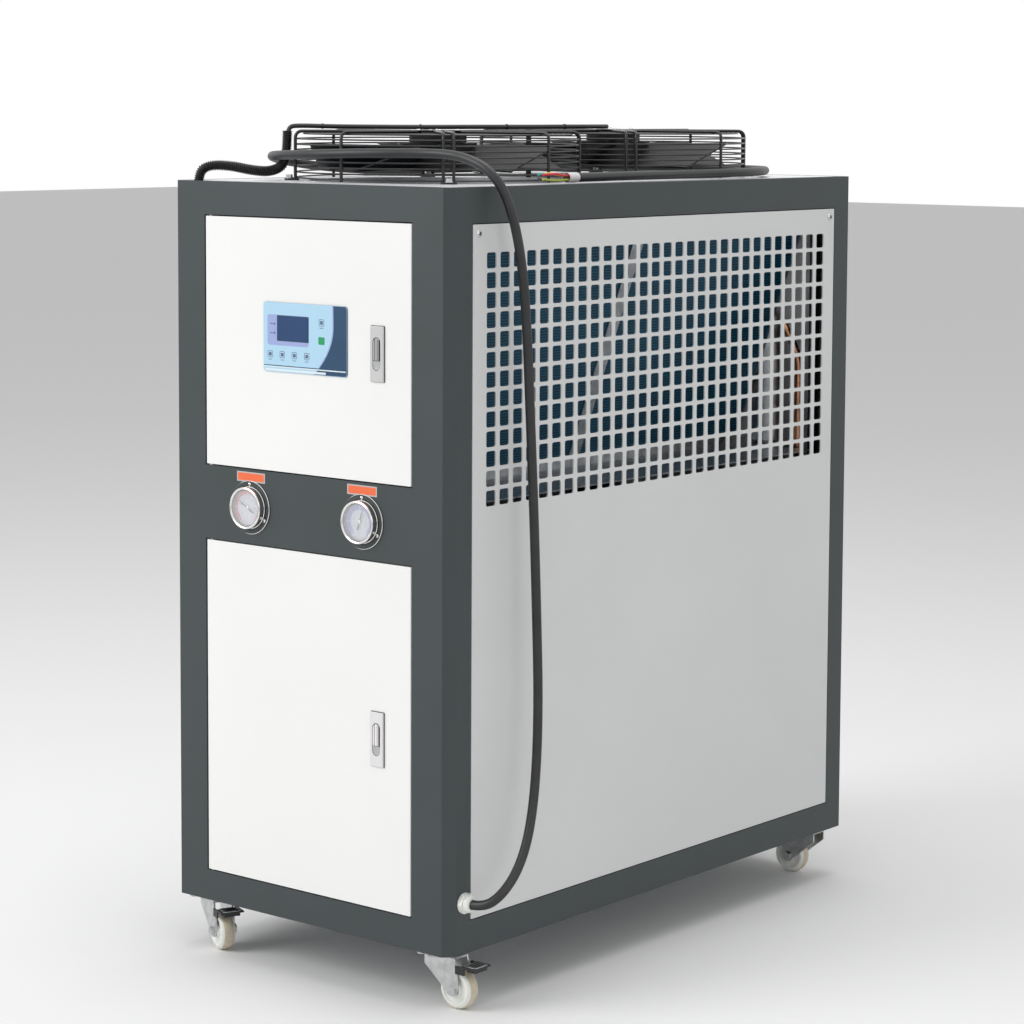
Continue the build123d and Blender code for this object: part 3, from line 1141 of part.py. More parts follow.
def cord_gland():
    """The cable gland in the corner post: hexagon nut, domed cap and thread, bored for the cord."""
    y, z = FRONT + GLAND_BACK, BASE + GLAND_UP
    plane = Plane(origin=(HALF_WIDTH, y, z), z_dir=(1, 0, 0))
    nut = extrude(plane * RegularPolygon(GLAND_NUT_ACROSS / 2, 6, major_radius=False), GLAND_NUT)
    cap = drum(GLAND_DOME_RADIUS, GLAND_NUT + GLAND_DOME, (HALF_WIDTH, y, z), (1, 0, 0))
    cap = chamfer(cap.edges().filter_by(GeomType.CIRCLE).sort_by(Axis.X)[-1], GLAND_DOME_EDGE)
    thread = drum(GLAND_THREAD_RADIUS, GLAND_INSIDE, (HALF_WIDTH, y, z), (-1, 0, 0))
    seat = drum(CORD_RADIUS + RUNNING_GAP, 40, (CORD_POINTS[0][0], y, z), (1, 0, 0))
    return nut + cap + thread - seat


def fan_conduit():
    """The corrugated conduit that brings the fan wiring out of the roof and up the front guard."""
    conduit, _, _ = tube_along(CONDUIT_POINTS, CONDUIT_RADIUS)
    end, before = Vector(*CONDUIT_POINTS[-1]), Vector(*CONDUIT_POINTS[-2])
    mouth = drum(FAN_LEAD_RADIUS + 1.5, 10, tuple(end + (end - before).normalized()), tuple(before - end))
    return conduit - mouth


def fan_lead():
    """The fans' lead, lying over the guards from the conduit to each motor."""
    lead, _, _ = tube_along(FAN_LEAD_POINTS, FAN_LEAD_RADIUS)
    return lead


def water_pipes():
    """The two short water pipes between the tank and the connectors on the rear panel."""
    length = TANK_REAR_GAP - SHEET - CONNECTOR_INSIDE
    return [
        drum(CONNECTOR_BORE + WATER_PIPE_WALL, length, (x, TANK_REAR, z), (0, 1, 0))
        for x, z, _ in connector_places()[:2]
    ]


def pieces():
    """Every node of the chiller by name."""
    gauge_places = (
        ("high", -GAUGE_SPACING / 2, LEFT_NEEDLE_ANGLE),
        ("low", GAUGE_SPACING / 2, RIGHT_NEEDLE_ANGLE),
    )
    parts = {
        "cabinet_frame": cabinet_frame(),
        "base_pan": base_pan(),
        "roof_panel": roof_panel(),
        "side_panel_right": side_panel(1),
        "side_panel_left": side_panel(-1),
        "rear_panel": rear_panel(),
        "panel_screws": panel_screws(),
        "upper_door": door(UPPER_DOOR_LOW, UPPER_DOOR_HIGH, UPPER_LATCH_UP),
        "lower_door": door(LOWER_DOOR_LOW, LOWER_DOOR_HIGH, LOWER_LATCH_UP),
        "door_pins": door_pins(UPPER_DOOR_LOW, UPPER_DOOR_HIGH) + door_pins(LOWER_DOOR_LOW, LOWER_DOOR_HIGH),
        "control_panel": control_panel(),
        "display": display(),
        "controller_case": controller_case(),
        "gauge_cases": [gauge_case(across) for _, across, _ in gauge_places],
        "gauge_glasses": [gauge_glass(across) for _, across, _ in gauge_places],
        "gauge_screws": gauge_screws(),
        "fan_guards": [fan_guard(place) for place in FAN_PLACES],
        "fan_motors": [fan_motor(place) for place in FAN_PLACES],
        "condenser_coils": [condenser_coil(side) for side in (1, -1)],
        "coil_brackets": [coil_brackets(side) for side in (1, -1)],
        "mid_deck": mid_deck(),
        "electrical_box": electrical_box(),
        "switchgear": [
            switchgear(CONTACTOR_ACROSS, CONTACTOR_RISE, CONTACTOR_WIDTH, CONTACTOR_HEIGHT, CONTACTOR_DEPTH),
            switchgear(BREAKER_ACROSS, BREAKER_RISE, BREAKER_WIDTH, BREAKER_HEIGHT, BREAKER_DEPTH),
        ],
        "compressor": compressor(),
        "water_tank": water_tank(),
        "pump": pump(),
        "liquid_receiver": receiver(),
        "copper_line": copper_line(),
        "water_pipes": water_pipes(),
        "water_connectors": [connector(*place, CONNECTOR_BORE) for place in connector_places()[:2]],
        "drain_valve": drain_valve(),
        "drain_lever": drain_lever(),
        "castor_plates": [castor_plate(across, along) for across, along, _, _ in CASTORS.values()],
        "castor_bolts": castor_bolts(),
        "power_cord": power_cord(),
        "cord_cores": cord_cores(),
        "cord_gland": cord_gland(),
        "fan_conduit": fan_conduit(),
        "fan_lead": fan_lead(),
    }
    for name, up in (("upper", UPPER_LATCH_UP), ("lower", LOWER_LATCH_UP)):
        parts[f"{name}_latch_body"] = latch_body(up)
        parts[f"{name}_latch_lever"] = latch_lever(up)
        parts[f"{name}_latch_button"] = latch_button(up)
    for name, across, angle in gauge_places:
        parts[f"{name}_gauge_needle"] = gauge_needle(across, angle)
    for name, place in zip(("front", "rear"), FAN_PLACES):
        parts[f"{name}_fan_rotor"] = fan_rotor(place)
    for name, (across, along, angle, braked) in CASTORS.items():
        fork = [castor_fork(), castor_axle()]
        parts[f"{name}_castor_fork"] = [place_castor(across, along, angle, piece) for piece in fork]
        parts[f"{name}_castor_wheel"] = place_castor(across, along, angle, castor_wheel())
        if braked:
            parts[f"{name}_brake_pedal"] = place_castor(across, along, angle, castor_pedal())
    return parts


os.makedirs("parts", exist_ok=True)
for node, shape in pieces().items():
    whole = Compound(children=shape) if isinstance(shape, list) else shape
    export_step(whole, f"parts/{node}.step")
    print(node)
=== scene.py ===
"""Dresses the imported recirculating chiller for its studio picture.

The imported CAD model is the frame. Every piece made here is in metres in the same frame and rides on a CAD
body. Where it shows a CAD node in more detail, it replaces that node.
"""
from __future__ import annotations

import logging
import math
from collections.abc import Callable, Iterable, Sequence
from dataclasses import dataclass, field
from enum import Enum

import bmesh
import bpy
from mathutils import Matrix, Vector


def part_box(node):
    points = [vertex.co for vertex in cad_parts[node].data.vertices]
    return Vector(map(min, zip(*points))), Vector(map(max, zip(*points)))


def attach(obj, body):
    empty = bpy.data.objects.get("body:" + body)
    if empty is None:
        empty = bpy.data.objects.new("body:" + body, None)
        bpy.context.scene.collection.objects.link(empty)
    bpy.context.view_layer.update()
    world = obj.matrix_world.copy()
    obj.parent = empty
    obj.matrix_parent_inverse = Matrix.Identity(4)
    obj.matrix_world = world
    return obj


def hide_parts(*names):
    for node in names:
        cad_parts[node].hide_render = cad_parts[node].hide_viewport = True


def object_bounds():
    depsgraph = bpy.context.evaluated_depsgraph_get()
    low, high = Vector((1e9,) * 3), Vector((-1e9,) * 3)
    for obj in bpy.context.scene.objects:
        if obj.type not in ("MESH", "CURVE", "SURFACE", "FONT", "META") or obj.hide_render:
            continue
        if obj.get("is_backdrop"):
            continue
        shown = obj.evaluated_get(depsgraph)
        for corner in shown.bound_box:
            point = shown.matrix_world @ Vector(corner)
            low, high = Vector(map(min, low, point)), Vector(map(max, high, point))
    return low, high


LOG = logging.getLogger("chiller")

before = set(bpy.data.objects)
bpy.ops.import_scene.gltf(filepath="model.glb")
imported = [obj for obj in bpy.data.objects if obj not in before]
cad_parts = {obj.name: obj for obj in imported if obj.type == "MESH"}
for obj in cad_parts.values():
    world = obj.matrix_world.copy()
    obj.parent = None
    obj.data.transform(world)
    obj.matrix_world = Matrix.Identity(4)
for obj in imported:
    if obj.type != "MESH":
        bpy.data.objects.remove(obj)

Outline = Sequence[tuple[float, float]]

MM = 0.001
HALF_WIDTH = 0.280
HALF_DEPTH = 0.515
BASE = 0.085
ROOF = 1.185
FRONT = -HALF_DEPTH


class Body(str, Enum):
    """The CAD bodies that pieces ride on."""

    CABINET = "cabinet"
    UPPER_DOOR = "upper_door"
    LOWER_DOOR = "lower_door"


class Paint(str, Enum):
    """Every finish on the chiller, by the name of its material."""

    FRAME = "frame_coat"
    DOOR = "door_coat"
    PANEL = "panel_coat"
    ROOF = "roof_coat"
    WIRE = "guard_coat"
    SATIN = "satin_chrome"
    BRIGHT = "polished_steel"
    ZINC = "zinc_plating"
    GALVANISED = "galvanised_steel"
    STAINLESS = "stainless_steel"
    BRASS = "plain_brass"
    COPPER = "copper_tube"
    FINS = "coated_fins"
    RUBBER = "rubber_sheath"
    CONDUIT = "conduit_plastic"
    MOULDED = "black_moulded"
    GREY_PLASTIC = "grey_moulded"
    NYLON = "white_nylon"
    TREAD = "cream_tread"
    FILM_BLUE = "film_pale_blue"
    FILM_LILAC = "film_lilac"
    FILM_NAVY = "film_navy"
    FILM_GREY = "film_grey"
    FILM_GREEN = "film_green"
    FILM_WHITE = "film_white"
    DISPLAY = "display_window"
    TAG_ORANGE = "tag_orange"
    TAG_BORDER = "tag_border"
    DIAL_WHITE = "dial_white"
    DIAL_RED = "dial_red"
    DIAL_BLUE = "dial_blue"
    DARK_PRINT_AND_SHADE = "dark_print_and_shade"
    NEEDLE = "needle_black"
    CORE_RED = "core_red"
    CORE_YELLOW = "core_yellow"
    CORE_GREEN = "core_green"
    CORE_TEAL = "core_teal"
    TAPE = "white_tape"


@dataclass(frozen=True)
class Recipe:
    """What a finish is made of, from which its node tree is built.

    Attributes:
        colour: base colour, as an sRGB hex value.
        roughness: base roughness.
        metallic: 1 for bare metal.
        grain: size of the surface's bump pattern in millimetres, 0 for none.
        bump: strength of that bump.
        mottle: how much the colour varies over the surface.
        mottle_size: size of the colour's variation in millimetres.
        coat: weight of a clear coat.
        subsurface: weight of light scattered below the surface.
        streak: stretch of the pattern along each axis, for brushed or drawn metal.
    """

    colour: str
    roughness: float
    metallic: float = 0.0
    grain: float = 0.0
    bump: float = 0.0
    mottle: float = 0.05
    mottle_size: float = 80.0
    coat: float = 0.0
    subsurface: float = 0.0
    streak: tuple[float, float, float] = (1.0, 1.0, 1.0)


RECIPES: dict[Paint, Recipe] = {
    # Powder coat on folded steel: a soft sheen, broken by a fine grain
    Paint.FRAME: Recipe("#353d3f", 0.46, grain=1.1, bump=0.10, mottle=0.06),
    Paint.DOOR: Recipe("#f2f2f0", 0.38, grain=1.6, bump=0.05, mottle=0.012, mottle_size=200),
    # The panels' pale grey is the doors' white paint darkened for the sides and back, which face away from
    # the lamps: painted shade
    Paint.PANEL: Recipe("#dadbdb", 0.40, grain=1.6, bump=0.05, mottle=0.02, mottle_size=200),
    Paint.ROOF: Recipe("#ecedef", 0.34, grain=1.6, bump=0.04, mottle=0.02),
    # Enamelled wire: nearly black, with narrow highlights
    Paint.WIRE: Recipe("#19191b", 0.30, grain=0.8, bump=0.05),
    # Plated, rolled and drawn metals: bright, and streaked along the drawing where it was drawn
    Paint.SATIN: Recipe("#dddddd", 0.27, 1.0, grain=0.4, bump=0.03, streak=(1.0, 1.0, 0.08)),
    Paint.BRIGHT: Recipe("#e5e3e1", 0.13, 1.0, mottle=0.03),
    Paint.ZINC: Recipe("#c5c7c7", 0.30, 1.0, grain=3, bump=0.02, mottle=0.16, mottle_size=12),
    Paint.GALVANISED: Recipe("#bcbfc2", 0.38, 1.0, mottle=0.22, mottle_size=14),
    Paint.STAINLESS: Recipe("#cbcbca", 0.30, 1.0, grain=0.5, bump=0.03, streak=(0.06, 1.0, 1.0)),
    Paint.BRASS: Recipe("#dabc7c", 0.26, 1.0, mottle=0.1, mottle_size=10),
    Paint.COPPER: Recipe("#e7a681", 0.26, 1.0, mottle=0.25, mottle_size=20),
    # Rubber sheath and moulded plastics: dull and slightly uneven
    Paint.RUBBER: Recipe("#232426", 0.42, grain=1.2, bump=0.08, mottle=0.25, mottle_size=30),
    Paint.CONDUIT: Recipe("#1e1e1f", 0.38, mottle=0.1),
    Paint.MOULDED: Recipe("#1f1f21", 0.45, grain=0.7, bump=0.10),
    Paint.GREY_PLASTIC: Recipe("#adafb1", 0.40, grain=0.7, bump=0.05),
    # Cast nylon: milky, with light scattered below the surface
    Paint.NYLON: Recipe("#eaece6", 0.28, subsurface=0.15, mottle=0.04, mottle_size=10),
    Paint.TREAD: Recipe("#cec4ad", 0.42, subsurface=0.1, mottle=0.12, mottle_size=8),
    # Printed polyester film: flat ink under a thin clear layer
    Paint.FILM_BLUE: Recipe("#b1d8ef", 0.30, coat=0.4, mottle=0.01),
    Paint.FILM_LILAC: Recipe("#9eacdd", 0.30, coat=0.4, mottle=0.01),
    Paint.FILM_NAVY: Recipe("#164265", 0.28, coat=0.4, mottle=0.05),
    Paint.FILM_GREY: Recipe("#596581", 0.32, coat=0.4, mottle=0.02),
    Paint.FILM_GREEN: Recipe("#109b5d", 0.30, coat=0.4, mottle=0.02),
    Paint.FILM_WHITE: Recipe("#ddecf3", 0.30, coat=0.4, mottle=0.01),
    Paint.DISPLAY: Recipe("#123e6e", 0.12, coat=0.8, mottle=0.05),
    # Printed labels and dials: flat inks without shine
    Paint.TAG_ORANGE: Recipe("#f36e3c", 0.38, coat=0.2, mottle=0.03),
    Paint.TAG_BORDER: Recipe("#bfbaba", 0.42, mottle=0.03),
    Paint.DIAL_WHITE: Recipe("#dadbe7", 0.45, mottle=0.02),
    Paint.DIAL_RED: Recipe("#dd3c42", 0.42, mottle=0.03),
    Paint.DIAL_BLUE: Recipe("#8689d7", 0.42, mottle=0.03),
    # The dark ink prints the dial's numbers, and also paints shade into screw recesses, lever grooves and the
    # bezel's inner wall
    Paint.DARK_PRINT_AND_SHADE: Recipe("#30273f", 0.45),
    Paint.NEEDLE: Recipe("#19191d", 0.35),
    # Coloured core sheaths and cloth tape
    Paint.CORE_RED: Recipe("#d41d35", 0.33, mottle=0.06),
    Paint.CORE_YELLOW: Recipe("#edcb30", 0.33, mottle=0.06),
    Paint.CORE_GREEN: Recipe("#b3bf3f", 0.33, mottle=0.06),
    Paint.CORE_TEAL: Recipe("#27a2a2", 0.40, mottle=0.06),
    Paint.TAPE: Recipe("#e5dfe2", 0.50, grain=2, bump=0.08, mottle=0.05),
}


def linear(code: str) -> tuple[float, ...]:
    """Turns an sRGB hex colour to linear values.

    Args:
        code: the colour as # and six hex digits.

    Returns:
        Its linear red, green and blue.
    """
    values = (int(code[i:i + 2], 16) / 255 for i in (1, 3, 5))
    return tuple(v / 12.92 if v <= 0.04045 else ((v + 0.055) / 1.055) ** 2.4 for v in values)


class NodeGraph:
    """A small helper that adds and links the nodes of one tree."""

    def __init__(self, tree: bpy.types.NodeTree) -> None:
        """Takes the tree."""
        self.tree = tree

    def add(self, kind: str, inputs: dict[str | int, object] | None = None, **attributes: object
            ) -> bpy.types.Node:
        """Adds a node.

        Args:
            kind: the node's type name.
            inputs: values of its input sockets.
            attributes: its own settings.

        Returns:
            The new node.
        """
        node = self.tree.nodes.new(kind)
        for key, value in attributes.items():
            setattr(node, key, value)
        for key, value in (inputs or {}).items():
            node.inputs[key].default_value = value
        return node

    def link(self, source: bpy.types.NodeSocket, target: bpy.types.NodeSocket) -> None:
        """Links an output socket to an input socket."""
        self.tree.links.new(source, target)


class MaterialGraph(NodeGraph):
    """The node tree of one new material."""

    def __init__(self, name: str) -> None:
        """Makes the material.

        Args:
            name: the material's name.
        """
        self.material = bpy.data.materials.new(name)
        self.material.use_nodes = True
        super().__init__(self.material.node_tree)
        self.shader = self.tree.nodes["Principled BSDF"]

    def set(self, **values: object) -> None:
        """Sets sockets of the surface shader, with underscores for spaces."""
        for key, value in values.items():
            self.shader.inputs[key.replace("_", " ")].default_value = value


class Palette:
    """Builds each finish once and hands it out.

    Attributes:
        coat_roughness: roughness of every clear coat.
        scatter: distance that light travels below a surface, in metres.
        ramp: where the colour's variation starts and stops in the noise.
        gloss: least and greatest share of a finish's roughness.
        relief: depth of the bump pattern as a share of its size.
    """

    coat_roughness = 0.12
    scatter = 0.004
    ramp = (0.3, 0.7)
    gloss = (0.88, 1.14)
    relief = 0.2

    def __init__(self) -> None:
        """Starts empty."""
        self._made: dict[Paint, bpy.types.Material] = {}

    def get(self, paint: Paint) -> bpy.types.Material:
        """Returns a finish, building it on first use.

        Args:
            paint: which finish.

        Returns:
            Its material.
        """
        if paint not in self._made:
            self._made[paint] = self._fins() if paint is Paint.FINS else self._plain(paint, RECIPES[paint])
        return self._made[paint]

    def _plain(self, paint: Paint, recipe: Recipe) -> bpy.types.Material:
        """Builds a finish from its recipe: varied colour, varied gloss and a fine bump.

        Args:
            paint: its name.
            recipe: its facts.

        Returns:
            The material.
        """
        graph = MaterialGraph(paint.value)
        graph.set(Metallic=recipe.metallic, Coat_Weight=recipe.coat, Subsurface_Weight=recipe.subsurface)
        graph.set(Coat_Roughness=self.coat_roughness, Subsurface_Scale=self.scatter)
        coordinates = graph.add("ShaderNodeTexCoord")
        stretch = graph.add("ShaderNodeMapping", {"Scale": recipe.streak})
        graph.link(coordinates.outputs["Object"], stretch.inputs["Vector"])
        mottle = graph.add("ShaderNodeTexNoise", {"Scale": 1 / (recipe.mottle_size * MM), "Detail": 4.0})
        graph.link(stretch.outputs["Vector"], mottle.inputs["Vector"])
        colour = graph.add("ShaderNodeValToRGB")
        shares = (1.0 - recipe.mottle, 1.0 + recipe.mottle)
        for element, position, share in zip(colour.color_ramp.elements, self.ramp, shares):
            element.position = position
            element.color = (*(min(1.0, c * share) for c in linear(recipe.colour)), 1.0)
        graph.link(mottle.outputs["Fac"], colour.inputs["Fac"])
        graph.link(colour.outputs["Color"], graph.shader.inputs["Base Color"])
        dull, matt = (recipe.roughness * share for share in self.gloss)
        gloss = graph.add("ShaderNodeMapRange", {"To Min": dull, "To Max": matt})
        graph.link(mottle.outputs["Fac"], gloss.inputs["Value"])
        graph.link(gloss.outputs["Result"], graph.shader.inputs["Roughness"])
        if recipe.grain:
            grain = graph.add("ShaderNodeTexNoise", {"Scale": 1 / (recipe.grain * MM), "Detail": 2.0})
            graph.link(stretch.outputs["Vector"], grain.inputs["Vector"])
            depth = recipe.grain * MM * self.relief
            bump = graph.add("ShaderNodeBump", {"Strength": recipe.bump, "Distance": depth})
            graph.link(grain.outputs["Fac"], bump.inputs["Height"])
            graph.link(bump.outputs["Normal"], graph.shader.inputs["Normal"])
        return graph.material

    def _fins(self) -> bpy.types.Material:
        """Builds the condenser's face: thin blue fins in level rows, with the shade in the slots between them
        painted as dark bands.

        Returns:
            The material.
        """
        graph = MaterialGraph(Paint.FINS.value)
        graph.set(Roughness=0.34, Metallic=0.35)
        coordinates = graph.add("ShaderNodeTexCoord")
        rows = graph.add("ShaderNodeTexWave", {"Scale": 70.0, "Distortion": 0.25}, bands_direction="Z")
        graph.link(coordinates.outputs["Object"], rows.inputs["Vector"])
        patches = graph.add("ShaderNodeTexNoise", {"Scale": 14.0, "Detail": 3.0})
        graph.link(coordinates.outputs["Object"], patches.inputs["Vector"])
        # The rows run from dark painted shade in the slots to the fins' own blue
        tone = graph.add("ShaderNodeValToRGB")
        tone.color_ramp.elements[0].color = (*linear("#07344b"), 1.0)
        tone.color_ramp.elements[1].color = (*linear("#126785"), 1.0)
        graph.link(rows.outputs["Fac"], tone.inputs["Fac"])
        patch = graph.add("ShaderNodeMapRange", {"To Min": 0.75, "To Max": 1.2})
        graph.link(patches.outputs["Fac"], patch.inputs["Value"])
        shade = graph.add("ShaderNodeVectorMath", operation="SCALE")
        graph.link(tone.outputs["Color"], shade.inputs[0])
        graph.link(patch.outputs["Result"], shade.inputs["Scale"])
        graph.link(shade.outputs["Vector"], graph.shader.inputs["Base Color"])
        bump = graph.add("ShaderNodeBump", {"Strength": 0.35, "Distance": 0.0006})
        graph.link(rows.outputs["Fac"], bump.inputs["Height"])
        graph.link(bump.outputs["Normal"], graph.shader.inputs["Normal"])
        return graph.material


PALETTE = Palette()


class Solid:
    """Collects mesh parts in the row frame and turns them into one named piece."""

    def __init__(self) -> None:
        """Starts with no faces."""
        self.mesh = bmesh.new()
        self.paints: list[Paint] = []

    def slot_of(self, paint: Paint) -> int:
        """Finds the material slot of a paint.

        Args:
            paint: the finish.

        Returns:
            Its slot number.
        """
        if paint not in self.paints:
            self.paints.append(paint)
        return self.paints.index(paint)

    def grid(self, rows: Sequence[Sequence[Vector]], paint: Paint, around: bool = False, rings: bool = False,
             caps: bool = False) -> None:
        """Adds a skin over rows of points.

        Args:
            rows: the points, one list for each row.
            paint: the finish.
            around: whether each row closes on itself.
            rings: whether the last row joins the first.
            caps: whether the first and last rows are filled.
        """
        slot = self.slot_of(paint)
        made = [[self.mesh.verts.new(point) for point in row] for row in rows]
        count = len(made[0])
        pairs = list(zip(made, made[1:])) + ([(made[-1], made[0])] if rings else [])
        for low, high in pairs:
            for i in range(count if around else count - 1):
                j = (i + 1) % count
                self.mesh.faces.new((low[i], low[j], high[j], high[i])).material_index = slot
        if caps:
            self.mesh.faces.new(list(reversed(made[0]))).material_index = slot
            self.mesh.faces.new(made[-1]).material_index = slot

    def tube(self, points: Sequence[Vector], radius: float | Callable[[float], float], paint: Paint,
             sides: int = 12, closed: bool = False) -> None:
        """Adds a round tube along a line.

        Args:
            points: the line.
            radius: one radius, or a function of the distance along the line.
            paint: the finish.
            sides: points round the tube.
            closed: whether the line is a ring.
        """
        line = [Vector(p) for p in points]
        size = len(line)
        rows: list[list[Vector]] = []
        normal = Vector((0, 0, 1))
        travelled = 0.0
        for i, here in enumerate(line):
            before = line[(i - 1) % size] if closed or i else here
            after = line[(i + 1) % size] if closed or i < size - 1 else here
            tangent = (after - before).normalized()
            if i == 0 and abs(tangent.dot(normal)) > 0.95:
                normal = Vector((1, 0, 0))
            normal = (normal - tangent * normal.dot(tangent)).normalized()
            across = tangent.cross(normal)
            if i:
                travelled += (here - line[i - 1]).length
            reach = radius(travelled) if callable(radius) else radius
            rows.append([
                here + (normal * math.cos(a) + across * math.sin(a)) * reach
                for a in (2 * math.pi * k / sides for k in range(sides))
            ])
        self.grid(rows, paint, around=True, rings=closed, caps=not closed)

    def lathe(self, profile: Sequence[tuple[float, float]], place: Matrix, paint: Paint | Sequence[Paint],
              segments: int = 64) -> None:
        """Adds a turned form, with its axis on the place's Z axis.

        Args:
            profile: (radius, height) points in order; a radius of 0 closes an end.
            place: where the form stands.
            paint: one finish, or one for each step of the profile.
            segments: steps round the axis.
        """
        paints = [paint] * (len(profile) - 1) if isinstance(paint, Paint) else list(paint)
        rows: list[list[bmesh.types.BMVert]] = []
        for radius, height in profile:
            if radius < 1e-7:
                rows.append([self.mesh.verts.new(place @ Vector((0, 0, height)))] * segments)
                continue
            rows.append([
                self.mesh.verts.new(place @ Vector((radius * math.cos(a), radius * math.sin(a), height)))
                for a in (2 * math.pi * k / segments for k in range(segments))
            ])
        for step, (low, high) in enumerate(zip(rows, rows[1:])):
            slot = self.slot_of(paints[step])
            for i in range(segments):
                j = (i + 1) % segments
                corners: list[bmesh.types.BMVert] = []
                for vertex in (low[i], low[j], high[j], high[i]):
                    if vertex not in corners:
                        corners.append(vertex)
                if len(corners) > 2:
                    self.mesh.faces.new(corners).material_index = slot

    def prism(self, outline: Sequence[tuple[float, float]], place: Matrix, depth: float, paint: Paint,
              side: Paint | None = None) -> None:
        """Adds a flat plate with an outline.

        Args:
            outline: the outline in the place's XY plane.
            place: where the outline lies.
            depth: how far the plate runs along the place's Z axis.
            paint: finish of both faces.
            side: finish of the edge, the same if left out.
        """
        slot, edge = self.slot_of(paint), self.slot_of(side or paint)
        low = [self.mesh.verts.new(place @ Vector((x, y, 0))) for x, y in outline]
        high = [self.mesh.verts.new(place @ Vector((x, y, depth))) for x, y in outline]
        self.mesh.faces.new(list(reversed(low))).material_index = slot
        self.mesh.faces.new(high).material_index = slot
        for i in range(len(low)):
            j = (i + 1) % len(low)
            self.mesh.faces.new((low[i], low[j], high[j], high[i])).material_index = edge

    def piece(self, name: str, body: str, replaces: Iterable[str] = (), bevel: float = 0.0,
              smooth: float = 35.0) -> bpy.types.Object:
        """Finishes the piece.

        Args:
            name: its name.
            body: the CAD body that it rides on.
            replaces: CAD nodes that it stands for.
            bevel: width of its rounded edges, 0 for none.
            smooth: angle in degrees under which faces shade as one.

        Returns:
            The new object.
        """
        bmesh.ops.recalc_face_normals(self.mesh, faces=self.mesh.faces[:])
        data = bpy.data.meshes.new(name)
        self.mesh.to_mesh(data)
        self.mesh.free()
        for paint in self.paints:
            data.materials.append(PALETTE.get(paint))
        item = bpy.data.objects.new(name, data)
        bpy.context.scene.collection.objects.link(item)
        round_edges(item, bevel)
        data.shade_smooth()
        data.set_sharp_from_angle(angle=math.radians(smooth))
        settle(item, body, replaces)
        LOG.info("made %s", name)
        return item


def round_edges(item: bpy.types.Object, width: float) -> None:
    """Gives an object rounded edges.

    Args:
        item: the object.
        width: the rounding's width, 0 for none.
    """
    if width:
        bevel = item.modifiers.new("rounding", "BEVEL")
        bevel.width = width
        bevel.segments = 2
        bevel.limit_method = "ANGLE"
        bevel.angle_limit = math.radians(32)
        bevel.harden_normals = True


def settle(item: bpy.types.Object, body: str, replaces: Iterable[str] = ()) -> None:
    """Makes a piece ride on its body and stand for its CAD nodes.

    Args:
        item: the piece.
        body: the CAD body.
        replaces: CAD nodes that it stands for.
    """
    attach(item, body.value if isinstance(body, Enum) else body)
    names = list(replaces)
    if names:
        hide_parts(*names)


def facing(origin: Sequence[float], out: Sequence[float], up: Sequence[float] = (0, 0, 1)) -> Matrix:
    """Builds a placing matrix whose Z axis points out and whose Y axis points up.

    Args:
        origin: where its origin lies.
        out: direction of its Z axis.
        up: direction nearest its Y axis.

    Returns:
        The matrix.
    """
    z = Vector(out).normalized()
    x = Vector(up).cross(z).normalized()
    y = z.cross(x)
    turn = Matrix((x, y, z)).transposed().to_4x4()
    return Matrix.Translation(origin) @ turn


def hexagon(radius: float) -> list[tuple[float, float]]:
    """Draws a regular hexagon, anticlockwise, by the radius of its corners."""
    return [(radius * math.cos(a), radius * math.sin(a)) for a in (math.pi / 3 * k for k in range(6))]


def rounded(width: float, height: float, radius: float, steps: int = 5,
            centre: tuple[float, float] = (0.0, 0.0)) -> list[tuple[float, float]]:
    """Draws a rectangle with rounded corners.

    Args:
        width: full width.
        height: full height.
        radius: corner radius.
        steps: straight steps in each corner.
        centre: its middle.

    Returns:
        The outline's points, anticlockwise.
    """
    points = []
    for corner, (sx, sy) in enumerate(((1, 1), (-1, 1), (-1, -1), (1, -1))):
        cx, cy = centre[0] + sx * (width / 2 - radius), centre[1] + sy * (height / 2 - radius)
        for step in range(steps + 1):
            a = math.pi / 2 * (corner + step / steps)
            points.append((cx + radius * math.cos(a), cy + radius * math.sin(a)))
    return points


def ring_line(centre: Sequence[float], radius: float, count: int = 96) -> list[Vector]:
    """Draws a level ring.

    Args:
        centre: its middle.
        radius: its radius.
        count: points round it.

    Returns:
        The points.
    """
    return [
        Vector((centre[0] + radius * math.cos(a), centre[1] + radius * math.sin(a), centre[2]))
        for a in (2 * math.pi * k / count for k in range(count))
    ]


def nurbs(name: str, points: Sequence[Sequence[float]], radius: float) -> bpy.types.Object:
    """Makes a round smooth curve from its control points.

    Args:
        name: the object's name.
        points: control points in the row frame.
        radius: the curve's thickness, 0 for a bare line.

    Returns:
        The curve object.
    """
    data = bpy.data.curves.new(name, "CURVE")
    data.dimensions = "3D"
    data.bevel_depth = radius
    data.bevel_resolution = 6
    data.resolution_u = 12
    data.use_fill_caps = True
    spline = data.splines.new("NURBS")
    spline.points.add(len(points) - 1)
    for target, point in zip(spline.points, points):
        target.co = (*point, 1.0)
    spline.order_u = 3
    spline.use_endpoint_u = True
    item = bpy.data.objects.new(name, data)
    bpy.context.scene.collection.objects.link(item)
    return item


def line_of(points: Sequence[Sequence[float]]) -> list[Vector]:
    """Reads the smooth line that a NURBS curve makes from its control points.

    Args:
        points: the control points.

    Returns:
        The line's points.
    """
    item = nurbs("line", points, 0.0)
    bpy.context.view_layer.update()
    mesh = bpy.data.meshes.new_from_object(item)
    line = [vertex.co.copy() for vertex in mesh.vertices]
    bpy.data.meshes.remove(mesh)
    bpy.data.objects.remove(item)
    return line


def dense(line: Sequence[Vector], step: float) -> list[Vector]:
    """Divides a line into even steps.

    Args:
        line: the line.
        step: the distance between points.

    Returns:
        The new points.
    """
    result = [line[0].copy()]
    carry = 0.0
    for a, b in zip(line, line[1:]):
        length = (b - a).length
        position = step - carry
        while position <= length:
            result.append(a.lerp(b, position / length))
            position += step
        carry = (carry + length) % step
    return result


